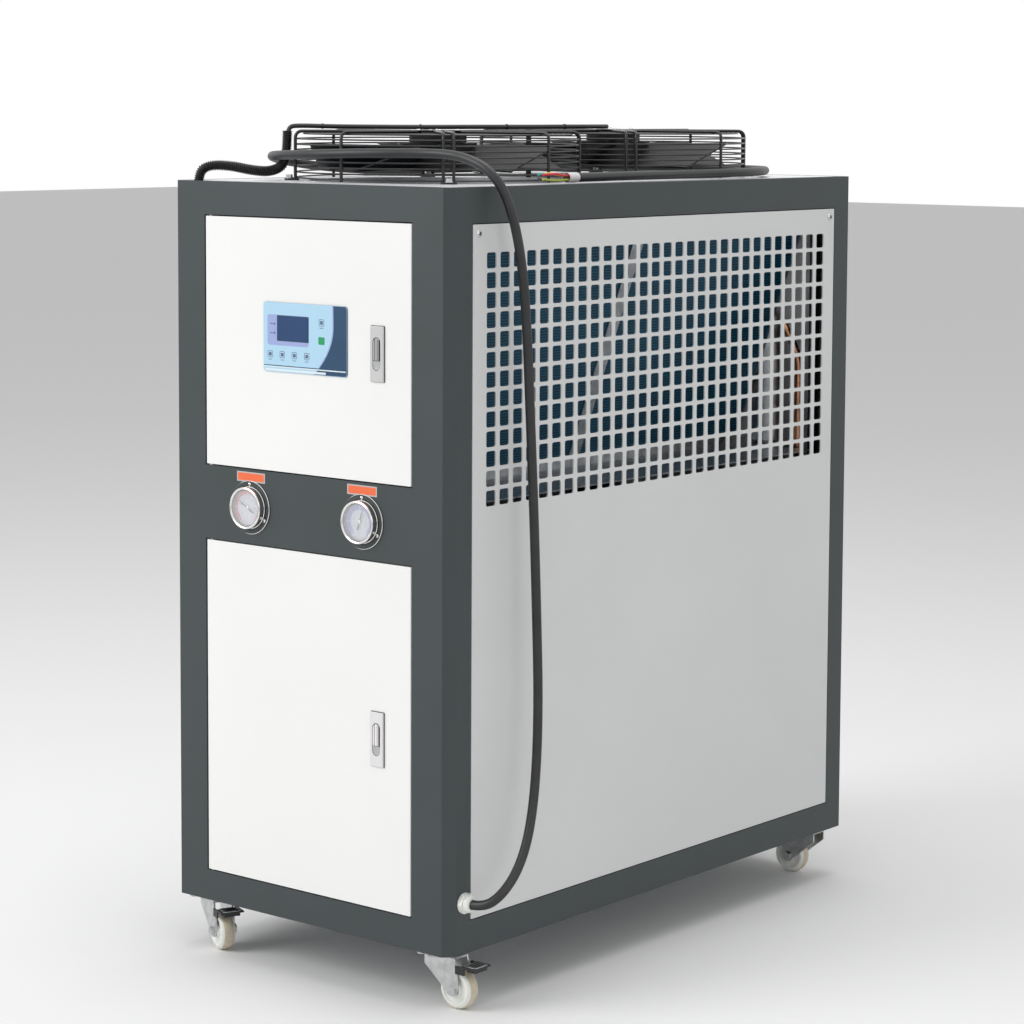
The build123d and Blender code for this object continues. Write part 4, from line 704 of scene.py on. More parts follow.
def repaint(node: str, paint: Paint, bevel: float = 0.0) -> bpy.types.Object:
    """Gives a CAD node its finish and, if wanted, rounded edges.

    Args:
        node: the node's name.
        paint: the finish.
        bevel: width of the rounding.

    Returns:
        The node's object.
    """
    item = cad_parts[node]
    item.data.materials.clear()
    item.data.materials.append(PALETTE.get(paint))
    round_edges(item, bevel)
    return item


# Routes of the flexible pieces: the same control points as in the part's source, in metres
CORD_POINTS = [
    (0.290, -0.4827, 0.1607), (0.317, -0.4827, 0.1607), (0.334, -0.464, 0.177), (0.338, -0.432, 0.207),
    (0.336, -0.404, 0.254), (0.331, -0.383, 0.330), (0.326, -0.372, 0.440), (0.322, -0.3725, 0.570),
    (0.320, -0.377, 0.710), (0.318, -0.384, 0.850), (0.317, -0.391, 0.975), (0.315, -0.399, 1.065),
    (0.311, -0.411, 1.130), (0.301, -0.424, 1.180), (0.279, -0.432, 1.209), (0.246, -0.433, 1.223),
    (0.200, -0.426, 1.230), (0.150, -0.4325, 1.231), (0.085, -0.457, 1.2305), (0.010, -0.470, 1.2285),
    (-0.062, -0.4625, 1.226), (-0.1315, -0.4374, 1.224), (-0.197, -0.386, 1.221), (-0.239, -0.312, 1.2125),
    (-0.2475, -0.220, 1.202), (-0.247, -0.120, 1.1955), (-0.244, 0.010, 1.1945), (-0.247, 0.140, 1.194),
    (-0.248, 0.250, 1.1943), (-0.221, 0.343, 1.1946), (-0.170, 0.410, 1.1943), (-0.095, 0.453, 1.1946),
    (0.000, 0.467, 1.1944), (0.095, 0.452, 1.1948), (0.170, 0.410, 1.1952), (0.222, 0.343, 1.1956),
    (0.244, 0.250, 1.195), (0.2405, 0.140, 1.1945), (0.246, 0.020, 1.1943), (0.252, -0.090, 1.1946),
    (0.255, -0.166, 1.1942), (0.258, -0.228, 1.1944),
]
CONDUIT_POINTS = [
    (-0.240, -0.496, 1.170), (-0.240, -0.496, 1.197), (-0.227, -0.485, 1.2085), (-0.207, -0.458, 1.207),
    (-0.192, -0.430, 1.200), (-0.179, -0.402, 1.1975), (-0.171, -0.3805, 1.208), (-0.1695, -0.3763, 1.234),
    (-0.1693, -0.3757, 1.260),
]
LEAD_POINTS = [
    (-0.1693, -0.3757, 1.252), (-0.169, -0.3745, 1.266), (-0.159, -0.363, 1.268), (-0.122, -0.322, 1.2666),
    (-0.078, -0.284, 1.2664), (-0.036, -0.232, 1.2662), (-0.010, -0.160, 1.2664), (0.003, -0.080, 1.2665),
    (0.005, 0.000, 1.2663), (0.008, 0.080, 1.2665), (0.012, 0.150, 1.2664), (0.008, 0.196, 1.2664),
]
CORD_RADIUS = 0.007


class Builder:
    """Base of every group of pieces."""

    def build(self) -> None:
        """Builds the group."""
        raise NotImplementedError


@dataclass
class Cabinet(Builder):
    """The frame, roof, base and inner pieces, which keep their CAD form."""

    def build(self) -> None:
        """Paints the CAD nodes of the cabinet."""
        for node, paint in {
            "cabinet_frame": Paint.FRAME, "roof_panel": Paint.ROOF, "rear_panel": Paint.PANEL,
            "upper_door": Paint.DOOR, "lower_door": Paint.DOOR, "base_pan": Paint.GALVANISED,
            "mid_deck": Paint.GALVANISED, "electrical_box": Paint.GALVANISED, "door_pins": Paint.ZINC,
            "switchgear": Paint.GREY_PLASTIC, "controller_case": Paint.MOULDED, "compressor": Paint.WIRE,
            "water_tank": Paint.STAINLESS, "pump": Paint.MOULDED, "liquid_receiver": Paint.GALVANISED,
            "copper_line": Paint.COPPER, "water_pipes": Paint.STAINLESS, "water_connectors": Paint.STAINLESS,
            "drain_valve": Paint.BRASS, "drain_lever": Paint.ZINC, "castor_plates": Paint.ZINC,
            "castor_bolts": Paint.ZINC, "coil_brackets": Paint.GALVANISED, "fan_motors": Paint.MOULDED,
            "front_fan_rotor": Paint.MOULDED, "rear_fan_rotor": Paint.MOULDED,
        }.items():
            repaint(node, paint)


@dataclass
class SidePanel(Builder):
    """A side panel with its rows of rounded square air holes.

    Attributes:
        side: 1 for the right panel and -1 for the left.
        columns: holes along the panel.
        rows: holes up the panel.
        hole: width and height of a hole.
        corner: radius of a hole's corners.
        thickness: thickness of the sheet.
        pitch: distance between holes, along and up.
        top_margin: from the opening's top to the first holes.
        clearance: gap between panel and opening.
        fold_radius: rounding of the folded edges.
        opening_top: height of the opening's top.
        screw_inset: from the panel's edges to a screw.
        screw_radius: radius of a screw's head.
        screw_height: height of a screw's head.
    """

    side: int
    columns: int = 29
    rows: int = 13
    hole: tuple[float, float] = (0.0212, 0.0228)
    corner: float = 0.0034
    thickness: float = 0.002
    pitch: tuple[float, float] = (0.0301, 0.0284)
    top_margin: float = 0.0418
    clearance: float = 0.0015
    fold_radius: float = 0.0008
    opening_top: float = BASE + 1.049
    screw_inset: float = 0.013
    screw_radius: float = 0.0058
    screw_height: float = 0.0026

    def build(self) -> None:
        """Builds the punched skin, its folded edges and its screws."""
        name = "right" if self.side > 0 else "left"
        low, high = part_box(f"side_panel_{name}")
        width, height = high[1] - low[1], high[2] - low[2]
        middle = ((low[1] + high[1]) / 2, (low[2] + high[2]) / 2)
        face = self.side * HALF_WIDTH
        place = facing((face, middle[0], middle[1]), (self.side, 0, 0))
        solid = Solid()
        self._skin(solid, place, width / 2, height / 2)
        self._returns(solid, place, width, height, abs(high[0] - low[0]))
        item = solid.piece(f"air_panel_{name}", Body.CABINET, [f"side_panel_{name}"])
        item.data.validate()
        self._screws(name, width / 2, middle[0], face)

    def _skin(self, solid: Solid, place: Matrix, half_width: float, half_height: float) -> None:
        """Adds both faces of the sheet: the cells of the pattern and the plain strips round it.

        Args:
            solid: what they are added to.
            place: the panel's plane.
            half_width: half the panel's width.
            half_height: half the panel's height.
        """
        reach = self.columns * self.pitch[0] / 2
        top = half_height + self.clearance - self.top_margin + (self.pitch[1] - self.hole[1]) / 2
        bottom = top - self.rows * self.pitch[1]
        ring, border = rounded(self.hole[0], self.hole[1], self.corner, steps=3), self._border()
        for column in range(self.columns):
            for row in range(self.rows):
                spot = ((column + 0.5) * self.pitch[0] - reach, bottom + (row + 0.5) * self.pitch[1], 0)
                self._cell(solid, place @ Matrix.Translation(spot), ring, border)
        for x0, x1, y0, y1 in (
            (-half_width, half_width, -half_height, bottom), (-half_width, half_width, top, half_height),
            (-half_width, -reach, bottom, top), (reach, half_width, bottom, top),
        ):
            for depth in (0.0, -self.thickness):
                quad = [place @ Vector((x, y, depth)) for x, y in ((x0, y0), (x1, y0), (x0, y1), (x1, y1))]
                solid.grid([quad[:2], quad[2:]], Paint.PANEL)

    def _cell(self, solid: Solid, place: Matrix, ring: Outline, border: Outline) -> None:
        """Adds one square of sheet with its hole.

        Args:
            solid: what it is added to.
            place: the cell's middle in the panel's plane.
            ring: the hole's outline.
            border: the cell's outline, with as many points.
        """
        slot = solid.slot_of(Paint.PANEL)
        count = len(ring)
        edges = []
        for depth in (0.0, -self.thickness):
            inner = [solid.mesh.verts.new(place @ Vector((x, y, depth))) for x, y in ring]
            outer = [solid.mesh.verts.new(place @ Vector((x, y, depth))) for x, y in border]
            for i in range(count):
                j = (i + 1) % count
                solid.mesh.faces.new((inner[i], outer[i], outer[j], inner[j])).material_index = slot
            edges.append(inner)
        front, back = edges
        for i in range(count):
            j = (i + 1) % count
            solid.mesh.faces.new((front[i], front[j], back[j], back[i])).material_index = slot

    def _border(self) -> Outline:
        """Draws the outline of one cell, with four points at each corner as its hole has.

        Returns:
            The outline, starting at the right edge and going anticlockwise.
        """
        share = 0.14
        points = []
        for sx, sy in ((1, 1), (-1, 1), (-1, -1), (1, -1)):
            edge_x, edge_y = sx * self.pitch[0] / 2, sy * self.pitch[1] / 2
            flat_x, flat_y = sx * (self.hole[0] / 2 - self.corner), sy * (self.hole[1] / 2 - self.corner)
            near = (edge_x * (1 - share) + flat_x * share, edge_y)
            side = [(edge_x, flat_y), (edge_x, edge_y), near, (flat_x, edge_y)]
            points += side if sx * sy > 0 else list(reversed(side))
        return points

    def _returns(self, solid: Solid, place: Matrix, width: float, height: float, depth: float) -> None:
        """Adds the folded edges behind the skin.

        Args:
            solid: what they are added to.
            place: the panel's plane.
            width: the panel's width.
            height: the panel's height.
            depth: how far the edges are folded back.
        """
        outer = rounded(width, height, self.fold_radius, steps=1)
        both = 2 * self.thickness
        inner = rounded(width - both, height - both, self.fold_radius / 2, steps=1)
        rows = [
            [place @ Vector((x, y, z)) for x, y in outline]
            for outline, z in ((outer, 0.0), (outer, -depth), (inner, -depth), (inner, -self.thickness))
        ]
        solid.grid(rows, Paint.PANEL, around=True)

    def _screws(self, name: str, half_width: float, middle: float, face: float) -> None:
        """Adds the panel's two domed cross-head screws.

        Args:
            name: which panel.
            half_width: half the panel's width.
            middle: its middle along Y.
            face: its face along X.
        """
        heads = Solid()
        z = self.opening_top - self.clearance - self.screw_inset
        for end in (-1, 1):
            seat = facing((face, middle + end * (half_width - self.screw_inset), z), (self.side, 0, 0))
            screw_head(heads, seat, self.screw_radius, self.screw_height, Paint.ZINC)
        replaced = ["panel_screws"] if self.side > 0 else []
        heads.piece(f"panel_screw_heads_{name}", Body.CABINET, replaced)


def screw_head(solid: Solid, place: Matrix, radius: float, height: float, paint: Paint) -> None:
    """Adds a domed screw head, with the shade in its cross recess painted as a dark cross.

    Args:
        solid: what it is added to.
        place: its seat, with Z pointing out.
        radius: its radius.
        height: its height.
        paint: its finish.
    """
    sunk, first_turn = 0.0004, 0.5
    dome = [(radius * math.cos(a), height * math.sin(a)) for a in (math.pi / 2 * k / 6 for k in range(6))]
    solid.lathe([(radius, -sunk)] + dome + [(0.0, height)], place, paint, segments=28)
    # The dark cross stands in for the recess: painted shade
    slit = rounded(radius * 1.15, radius * 0.26, radius * 0.06, 2)
    slit_foot, slit_rise = height * 0.80, height * 0.24
    for turn in (first_turn, first_turn + math.pi / 2):
        low = place @ Matrix.Rotation(turn, 4, "Z") @ Matrix.Translation((0, 0, slit_foot))
        solid.prism(slit, low, slit_rise, Paint.DARK_PRINT_AND_SHADE)


@dataclass
class Gauge(Builder):
    """A flush-mounted pressure gauge.

    Attributes:
        name: which gauge.
        across: its place across the cabinet.
        angle: the needle's direction in degrees, anticlockwise from the right.
        band: finish of the scale's band.
        band_width: width of that band.
        marks: finish of the marks on the band.
        height: height of its middle.
        flange: profile of the flange, as radius and height.
        bezel: profile of the bezel, wall and dial.
        can: profile of the case behind the panel.
        spigot: profile of the pressure connection.
        rim: outer radius of the scale.
        dial_middle: height of the dial's middle.
        dial_edge: radius and height of the dial's edge.
        scale_lift: height of the band over the dial's middle.
        mark_lift: height of the marks over the dial's middle.
        band_parts: first and last angle of each part of the band.
        pointer: outline of the needle.
        pointer_lift: height of the needle.
        screw_circle: radius of the circle of screws.
        tag_across: place of the tag across the cabinet.
        tag_up: height of the tag.
        tag_size: width and height of the tag.
        tag_face: width and height of its orange face.
    """

    name: str
    across: float
    angle: float
    band: Paint
    band_width: float
    marks: Paint
    height: float = BASE + 0.615
    flange: Outline = (
        (0.0395, 0.0), (0.0403, 0.0006), (0.0403, 0.0016), (0.0395, 0.0022), (0.0330, 0.0022),
    )
    bezel: Outline = (
        (0.0318, 0.0018), (0.0318, 0.0030), (0.0310, 0.0036), (0.0310, 0.0098), (0.0317, 0.0106),
        (0.0318, 0.0120), (0.0311, 0.0134), (0.0297, 0.0140), (0.0284, 0.0137), (0.0275, 0.0128),
        (0.0269, 0.0112), (0.0266, 0.0060), (0.0, 0.0050),
    )
    can: Outline = ((0.0275, 0.0), (0.0275, -0.027), (0.0262, -0.028), (0.0, -0.028))
    spigot: Outline = ((0.0070, -0.028), (0.0070, -0.040), (0.0, -0.040))
    rim: float = 0.0262
    dial_middle: float = 0.0050
    dial_edge: tuple[float, float] = (0.0266, 0.0060)
    scale_lift: float = 0.00020
    mark_lift: float = 0.00035
    band_parts: Outline = ((-52.0, 44.0), (46.5, 88.5), (91.5, 133.5), (136.0, 232.0))
    pointer: Outline = (
        (-0.0125, -0.0013), (-0.0100, -0.0015), (-0.0035, -0.0007), (0.0, -0.0012), (0.0205, -0.00025),
        (0.0205, 0.00025), (0.0, 0.0012), (-0.0035, 0.0007), (-0.0100, 0.0015), (-0.0125, 0.0013),
    )
    pointer_lift: float = 0.0071
    screw_circle: float = 0.0350
    tag_across: float = 0.112
    tag_up: float = BASE + 0.6605
    tag_size: tuple[float, float] = (0.0580, 0.0150)
    tag_face: tuple[float, float] = (0.0535, 0.0112)

    def build(self) -> None:
        """Builds case, dial, needle, screws and tag."""
        place = facing((self.across, FRONT, self.height), (0, -1, 0))
        case = Solid()
        # The black flange's rounded rim is polished steel: a painted highlight along its edge
        case.lathe(self.flange, place, [Paint.BRIGHT] * 3 + [Paint.FRAME], segments=96)
        # The bezel's inner wall down to the dial is dark painted shade under its lip
        bezel_paints = [Paint.BRIGHT] * 9 + [Paint.DARK_PRINT_AND_SHADE] * 2 + [Paint.DIAL_WHITE]
        case.lathe(self.bezel, place, bezel_paints, segments=96)
        case.lathe(self.can, place, Paint.MOULDED, 64)
        case.lathe(self.spigot, place, Paint.BRASS, 24)
        shared = self._stands_for("gauge_cases")
        case.piece(f"{self.name}_pressure_gauge", Body.CABINET, shared)
        self._dial(place)
        self._needle(place)
        self._screws(place)
        self._tag()

    def _stands_for(self, node: str) -> list[str]:
        """Names the shared CAD node that the left gauge replaces for both gauges."""
        return [node] if self.across < 0 else []

    def _dial(self, place: Matrix) -> None:
        """Prints the scale: a broken band with marks, fine ticks, a faint inner scale and numbers.

        Args:
            place: the gauge's plane.
        """
        dial = Solid()
        foot = self.rim - self.band_width
        for part in self.band_parts:
            self._arc(dial, place, (foot, self.rim), part, self.scale_lift, self.band)
        for k in range(31):
            long = k % 5 == 0
            reach = (foot + (0.0004 if long else 0.0016), self.rim - 0.0010)
            self._tick(dial, place, reach, 225.0 - 9.0 * k, 1.2 if long else 0.5, self.marks)
        outer = foot - 0.0012
        for k in range(28):
            reach = (outer - (0.0018 if k % 3 else 0.0028), outer)
            self._tick(dial, place, reach, 220.0 - 9.6 * k, 0.5, Paint.DIAL_BLUE)
        digit_width, digit_height = 0.0016, 0.0024
        circle = foot - 0.0066
        for k in range(10):
            a = math.radians(216.0 - 27.0 * k)
            corner = (circle * math.cos(a) - digit_width / 2, circle * math.sin(a) - digit_height / 2)
            spot = place @ Matrix.Translation((*corner, self.dial_middle + self.mark_lift))
            digit(dial, spot, k, digit_width, digit_height, Paint.DARK_PRINT_AND_SHADE)
        dial.piece(f"{self.name}_gauge_scale", Body.CABINET, smooth=10.0)

    def _tick(self, solid: Solid, place: Matrix, reach: tuple[float, float], middle: float, half: float,
              paint: Paint) -> None:
        """Adds one mark of the scale, by its radii, its direction and half its width in degrees."""
        self._arc(solid, place, reach, (middle - half, middle + half), self.mark_lift, paint)

    def _arc(self, solid: Solid, place: Matrix, reach: tuple[float, float], span: tuple[float, float],
             lift: float, paint: Paint) -> None:
        """Adds a thin printed arc.

        Args:
            solid: what it is added to.
            place: the gauge's plane.
            reach: inner and outer radius.
            span: first and last angle in degrees.
            lift: height over the dial.
            paint: its finish.
        """
        start, stop = span
        steps = max(1, int((stop - start) / 4))
        angles = [math.radians(start + (stop - start) * k / steps) for k in range(steps + 1)]
        foot, rise = self.dial_middle + lift, (self.dial_edge[1] - self.dial_middle) / self.dial_edge[0]
        rows = [
            [place @ Vector((r * math.cos(a), r * math.sin(a), foot + r * rise)) for a in angles]
            for r in reach
        ]
        solid.grid(rows, paint)

    def _needle(self, place: Matrix) -> None:
        """Builds the pointer: a fine tip, a heavy tail and a small boss.

        Args:
            place: the gauge's plane.
        """
        needle = Solid()
        turn = Matrix.Rotation(math.radians(self.angle), 4, "Z")
        turned = place @ turn @ Matrix.Translation((0, 0, self.pointer_lift))
        needle.prism(self.pointer, turned, 0.0006, Paint.NEEDLE)
        boss = [(0.0026, -0.0008), (0.0026, 0.0009), (0.0018, 0.0014), (0.0, 0.0014)]
        needle.lathe(boss, turned, Paint.BRIGHT, 24)
        node = f"{self.name}_gauge_needle"
        needle.piece(f"{self.name}_gauge_pointer", node, [node])

    def _screws(self, place: Matrix) -> None:
        """Adds three domed screws on the flange.

        Args:
            place: the gauge's plane.
        """
        screws = Solid()
        for angle in (90, 210, 330):
            a = math.radians(angle)
            seat = (self.screw_circle * math.cos(a), self.screw_circle * math.sin(a), 0.0020)
            screw_head(screws, place @ Matrix.Translation(seat), 0.0030, 0.0026, Paint.BRIGHT)
        shared = self._stands_for("gauge_screws")
        screws.piece(f"{self.name}_gauge_fixings", Body.CABINET, shared)

    def _tag(self) -> None:
        """Adds the bare orange tag with its pale border above the gauge."""
        tag = Solid()
        backing = 0.0004
        place = facing((math.copysign(self.tag_across, self.across), FRONT, self.tag_up), (0, -1, 0))
        tag.prism(rounded(*self.tag_size, 0.0005, 2), place, backing, Paint.TAG_BORDER)
        face = place @ Matrix.Translation((0, 0, backing))
        tag.prism(rounded(*self.tag_face, 0.0003, 2), face, 0.0001, Paint.TAG_ORANGE)
        tag.piece(f"{self.name}_gauge_tag", Body.CABINET)


# The strokes of each figure: a at the top, b to f clockwise from it, and g in the middle
STROKES = {
    0: "abcdef", 1: "bc", 2: "abged", 3: "abgcd", 4: "fgbc", 5: "afgcd", 6: "afgedc", 7: "abc", 8: "abcdefg",
    9: "abcdfg",
}


def digit(solid: Solid, place: Matrix, value: int, width: float, height: float, paint: Paint) -> None:
    """Prints one dial number from straight strokes.

    Args:
        solid: what it is added to.
        place: its lower left corner.
        value: the number, 0 to 9.
        width: its width.
        height: its height.
        paint: its finish.
    """
    lift = 0.0008
    stroke, half = width * 0.2, height / 2
    bars = {
        "a": (0, height - stroke, width, stroke), "g": (0, half - stroke / 2, width, stroke),
        "d": (0, 0, width, stroke), "f": (0, half, stroke, half), "b": (width - stroke, half, stroke, half),
        "e": (0, 0, stroke, half), "c": (width - stroke, 0, stroke, half),
    }
    for name in STROKES[value]:
        x, y, w, h = bars[name]
        quad = [place @ Vector((px, py, lift)) for px, py in ((x, y), (x + w, y), (x, y + h), (x + w, y + h))]
        solid.grid([quad[:2], quad[2:]], paint)


@dataclass
class Controller(Builder):
    """The controller's printed front on the upper door, in plain fields of colour with bare keys.

    Attributes:
        width: width of the plate.
        height: height of the plate.
        corner: radius of its corners.
        up: height of its middle.
        lift: thickness of the plate.
        film: thickness of one layer of print.
        lilac: left, right, lower and upper edge of the lilac field.
        lamp: edges of the green field.
        lamp_rows: heights of the two small marks beside the display.
        lamp_left: left edge of those marks.
        keys: middle of each key.
        stripes: each line at the lower edge, as left, right, lower and upper edge, finish and layer.
        window_middle: middle of the display.
        window_frame: width and height of the display's frame.
        window: width and height of its window.
    """

    width: float = 0.168
    height: float = 0.103
    corner: float = 0.005
    up: float = BASE + 0.8735
    lift: float = 0.0015
    film: float = 0.00012
    lilac: Sequence[float] = (-0.0755, 0.0075, -0.0120, 0.0330)
    lamp: Sequence[float] = (0.0275, 0.0395, -0.0065, 0.0045)
    lamp_rows: tuple[float, float] = (0.0195, 0.0060)
    lamp_left: float = -0.0700
    keys: Outline = (
        (-0.0700, -0.0255), (-0.0455, -0.0255), (-0.0210, -0.0255), (0.0040, -0.0255), (0.0335, 0.0255),
    )
    stripes: Sequence[tuple[Sequence[float], Paint, int]] = (
        ((-0.0825, 0.0825, 0.0088, 0.0100), Paint.FILM_NAVY, 2),
        ((-0.0825, 0.0815, 0.0070, 0.0087), Paint.FILM_WHITE, 3),
        ((-0.0800, 0.0420, 0.0015, 0.0048), Paint.FILM_WHITE, 2),
    )
    window_middle: tuple[float, float] = (-0.0240, 0.0135)
    window_frame: tuple[float, float] = (0.0640, 0.0380)
    window: tuple[float, float] = (0.0600, 0.0340)

    def build(self) -> None:
        """Builds the plate, its printed fields, keys and display."""
        place = facing((0, FRONT, self.up), (0, -1, 0))
        plate = Solid()
        outline = rounded(self.width, self.height, self.corner, 6)
        plate.prism(outline, place, self.lift, Paint.FILM_BLUE, side=Paint.FILM_NAVY)
        plate.piece("controller_plate", Body.UPPER_DOOR, ["control_panel"], bevel=0.0002)
        top = place @ Matrix.Translation((0, 0, self.lift))
        prints = Solid()
        self._field(prints, top, self.lilac, Paint.FILM_LILAC)
        self._crescent(prints, top)
        for (left, right, lower, upper), paint, layer in self.stripes:
            edge = -self.height / 2
            self._field(prints, top, (left, right, edge + lower, edge + upper), paint, layer)
        for row in self.lamp_rows:
            for start, stop, half in ((0.0, 0.0060, 0.0006), (0.0075, 0.0105, 0.0016)):
                mark = (self.lamp_left + start, self.lamp_left + stop, row - half, row + half)
                self._field(prints, top, mark, Paint.FILM_GREY, 2)
        for x, y in self.keys:
            self._key(prints, top, x, y)
        self._field(prints, top, self.lamp, Paint.FILM_GREEN, 2)
        prints.piece("controller_print", Body.UPPER_DOOR, smooth=20.0)
        self._display(top)

    def _field(self, solid: Solid, top: Matrix, edges: Sequence[float], paint: Paint, layer: int = 1) -> None:
        """Adds a rectangular printed field.

        Args:
            solid: what it is added to.
            top: the plate's face.
            edges: its left, right, lower and upper edge.
            paint: its finish.
            layer: which layer of print it is in.
        """
        x0, x1, y0, y1 = edges
        corner = min(x1 - x0, y1 - y0) * 0.08
        outline = rounded(x1 - x0, y1 - y0, corner, 2, ((x0 + x1) / 2, (y0 + y1) / 2))
        solid.prism(outline, top, self.film * layer, paint)

    def _crescent(self, solid: Solid, top: Matrix) -> None:
        """Adds the dark field at the right, whose left edge is a long curve with a pale line beside it.

        Args:
            solid: what it is added to.
            top: the plate's face.
        """
        margin, corner, line_width = 0.0006, 0.0046, 0.0022
        crest, crest_across, bend_below, bend_above = 0.020, 0.0575, 7.6, 0.6
        half_w, half_h = self.width / 2 - margin, self.height / 2 - margin

        def curve(shift: float) -> list[tuple[float, float]]:
            """Draws the long curve from top to bottom.

            Args:
                shift: how far it lies to the right.

            Returns:
                Its points.
            """
            points = []
            for k in range(25):
                y = half_h - 2 * half_h * k / 24
                pull = bend_below * max(0.0, crest - y) ** 2 + bend_above * max(0.0, y - crest) ** 2
                points.append((crest_across + shift - pull, y))
            return points

        arcs = []
        for corner_y, start in ((-half_h + corner, -90.0), (half_h - corner, 0.0)):
            for k in range(7):
                a = math.radians(start + 15.0 * k)
                arcs.append((half_w - corner + corner * math.cos(a), corner_y + corner * math.sin(a)))
        edge = curve(0.0)
        solid.prism(edge + arcs, top, self.film, Paint.FILM_NAVY)
        pale = curve(-line_width)
        rows = [[top @ Vector((x, y, self.film * 1.2)) for x, y in line] for line in (pale, edge)]
        solid.grid(rows, Paint.FILM_LILAC)

    def _key(self, solid: Solid, top: Matrix, x: float, y: float) -> None:
        """Adds one membrane key: a square ring round a plain square, with a bar under it.

        Args:
            solid: what it is added to.
            top: the plate's face.
            x: its middle across.
            y: its middle up.
        """
        half_square, half_bar, bar_low, bar_high = 0.0026, 0.0036, 0.0082, 0.0074
        outlines = (rounded(0.0100, 0.0100, 0.0018, 3, (x, y)), rounded(0.0086, 0.0086, 0.0013, 3, (x, y)))
        rows = [[top @ Vector((px, py, self.film * 1.5)) for px, py in outline] for outline in outlines]
        solid.grid(rows, Paint.FILM_GREY, around=True)
        square = (x - half_square, x + half_square, y - half_square, y + half_square)
        self._field(solid, top, square, Paint.FILM_GREY, 2)
        self._field(solid, top, (x - half_bar, x + half_bar, y - bar_low, y - bar_high), Paint.FILM_GREY, 2)

    def _display(self, top: Matrix) -> None:
        """Adds the display: a dark frame round a blue window.

        Args:
            top: the plate's face.
        """
        shown = Solid()
        rise = self.film * 2
        shown.prism(rounded(*self.window_frame, 0.0008, 2, self.window_middle), top, rise, Paint.FILM_NAVY)
        glass = top @ Matrix.Translation((0, 0, rise))
        shown.prism(rounded(*self.window, 0.0006, 2, self.window_middle), glass, 0.0003, Paint.DISPLAY)
        shown.piece("controller_display", Body.UPPER_DOOR, ["display"])


@dataclass
class Latch(Builder):
    """A push-button latch with its plate, grooved pull lever and button.

    Attributes:
        name: upper or lower.
        up: height of its middle.
        across: its place across the cabinet.
        half: half the width of lever and button.
        lever_low: lower end of the lever, from the latch's middle.
        lever_high: upper end of the lever.
        button_low: lower end of the button.
        button_high: upper end of the button.
        gasket: width and height of the gasket.
        ribs: left and right edge of each bright rib.
        dish: steps of the button's face, as inset and height.
    """

    name: str
    up: float
    across: float = 0.143
    half: float = 0.0071
    lever_low: float = -0.0098
    lever_high: float = 0.0236
    button_low: float = -0.0236
    button_high: float = -0.0102
    gasket: tuple[float, float] = (0.0262, 0.0812)
    ribs: Outline = ((-0.0066, -0.0036), (-0.0028, 0.0016), (0.0024, 0.0044))
    dish: Outline = ((0.0, 0.0005), (0.0, 0.0034), (0.0008, 0.0040), (0.0022, 0.0037), (0.0042, 0.0032))

    def build(self) -> None:
        """Builds plate, lever and button."""
        place = facing((self.across, FRONT, self.up), (0, -1, 0))
        repaint(f"{self.name}_latch_body", Paint.SATIN, 0.0005)
        seal = Solid()
        seal.prism(rounded(*self.gasket, 0.0006, 2), place, 0.0008, Paint.MOULDED)
        seal.piece(f"{self.name}_latch_gasket", f"{self.name}_door")
        self._lever(place)
        self._button(place)

    def _lever(self, place: Matrix) -> None:
        """Builds the lever with bright ribs over a dark base, which paints the shade in the two grooves
        between them.

        Args:
            place: the latch's plane.
        """
        lever = Solid()
        arch = self.lever_high - self.half
        outline = [(self.half, self.lever_low)]
        for k in range(13):
            a = math.pi * k / 12
            outline.append((self.half * math.cos(a), arch + self.half * math.sin(a)))
        outline.append((-self.half, self.lever_low))
        # The dark base, seen in the grooves between the bright ribs, is painted shade
        lever.prism(outline, place @ Matrix.Translation((0, 0, 0.0009)), 0.0018, Paint.DARK_PRINT_AND_SHADE)
        rib_foot = place @ Matrix.Translation((0, 0, 0.0026))
        for left, right in self.ribs:
            lever.prism(self._rib(left, right), rib_foot, 0.0016, Paint.BRIGHT)
        node = f"{self.name}_latch_lever"
        lever.piece(f"{self.name}_latch_handle", node, [node], bevel=0.0004)

    def _rib(self, left: float, right: float) -> list[tuple[float, float]]:
        """Draws one rib, cut off by the lever's round end.

        Args:
            left: its left edge.
            right: its right edge.

        Returns:
            The outline.
        """
        inset, edge = 0.0004, 0.0008
        points = [(left, self.lever_low + inset), (right, self.lever_low + inset)]
        for k in range(7):
            x = right + (left - right) * k / 6
            rise = math.sqrt(max(0.0, (self.half - edge) ** 2 - x * x))
            points.append((x, self.lever_high - self.half + rise))
        return points

    def _button(self, place: Matrix) -> None:
        """Builds the dished button below the lever.

        Args:
            place: the latch's plane.
        """
        button = Solid()
        rows = []
        for inset, lift in self.dish:
            reach = self.half - inset
            points = []
            for k in range(13):
                a = math.pi + math.pi * k / 12
                points.append((reach * math.cos(a), self.button_low + self.half + reach * math.sin(a)))
            points += [(reach, self.button_high - inset), (-reach, self.button_high - inset)]
            rows.append([place @ Vector((x, y, lift)) for x, y in points])
        button.grid(rows, Paint.GREY_PLASTIC, around=True, caps=True)
        node = f"{self.name}_latch_button"
        button.piece(f"{self.name}_latch_push", node, [node])


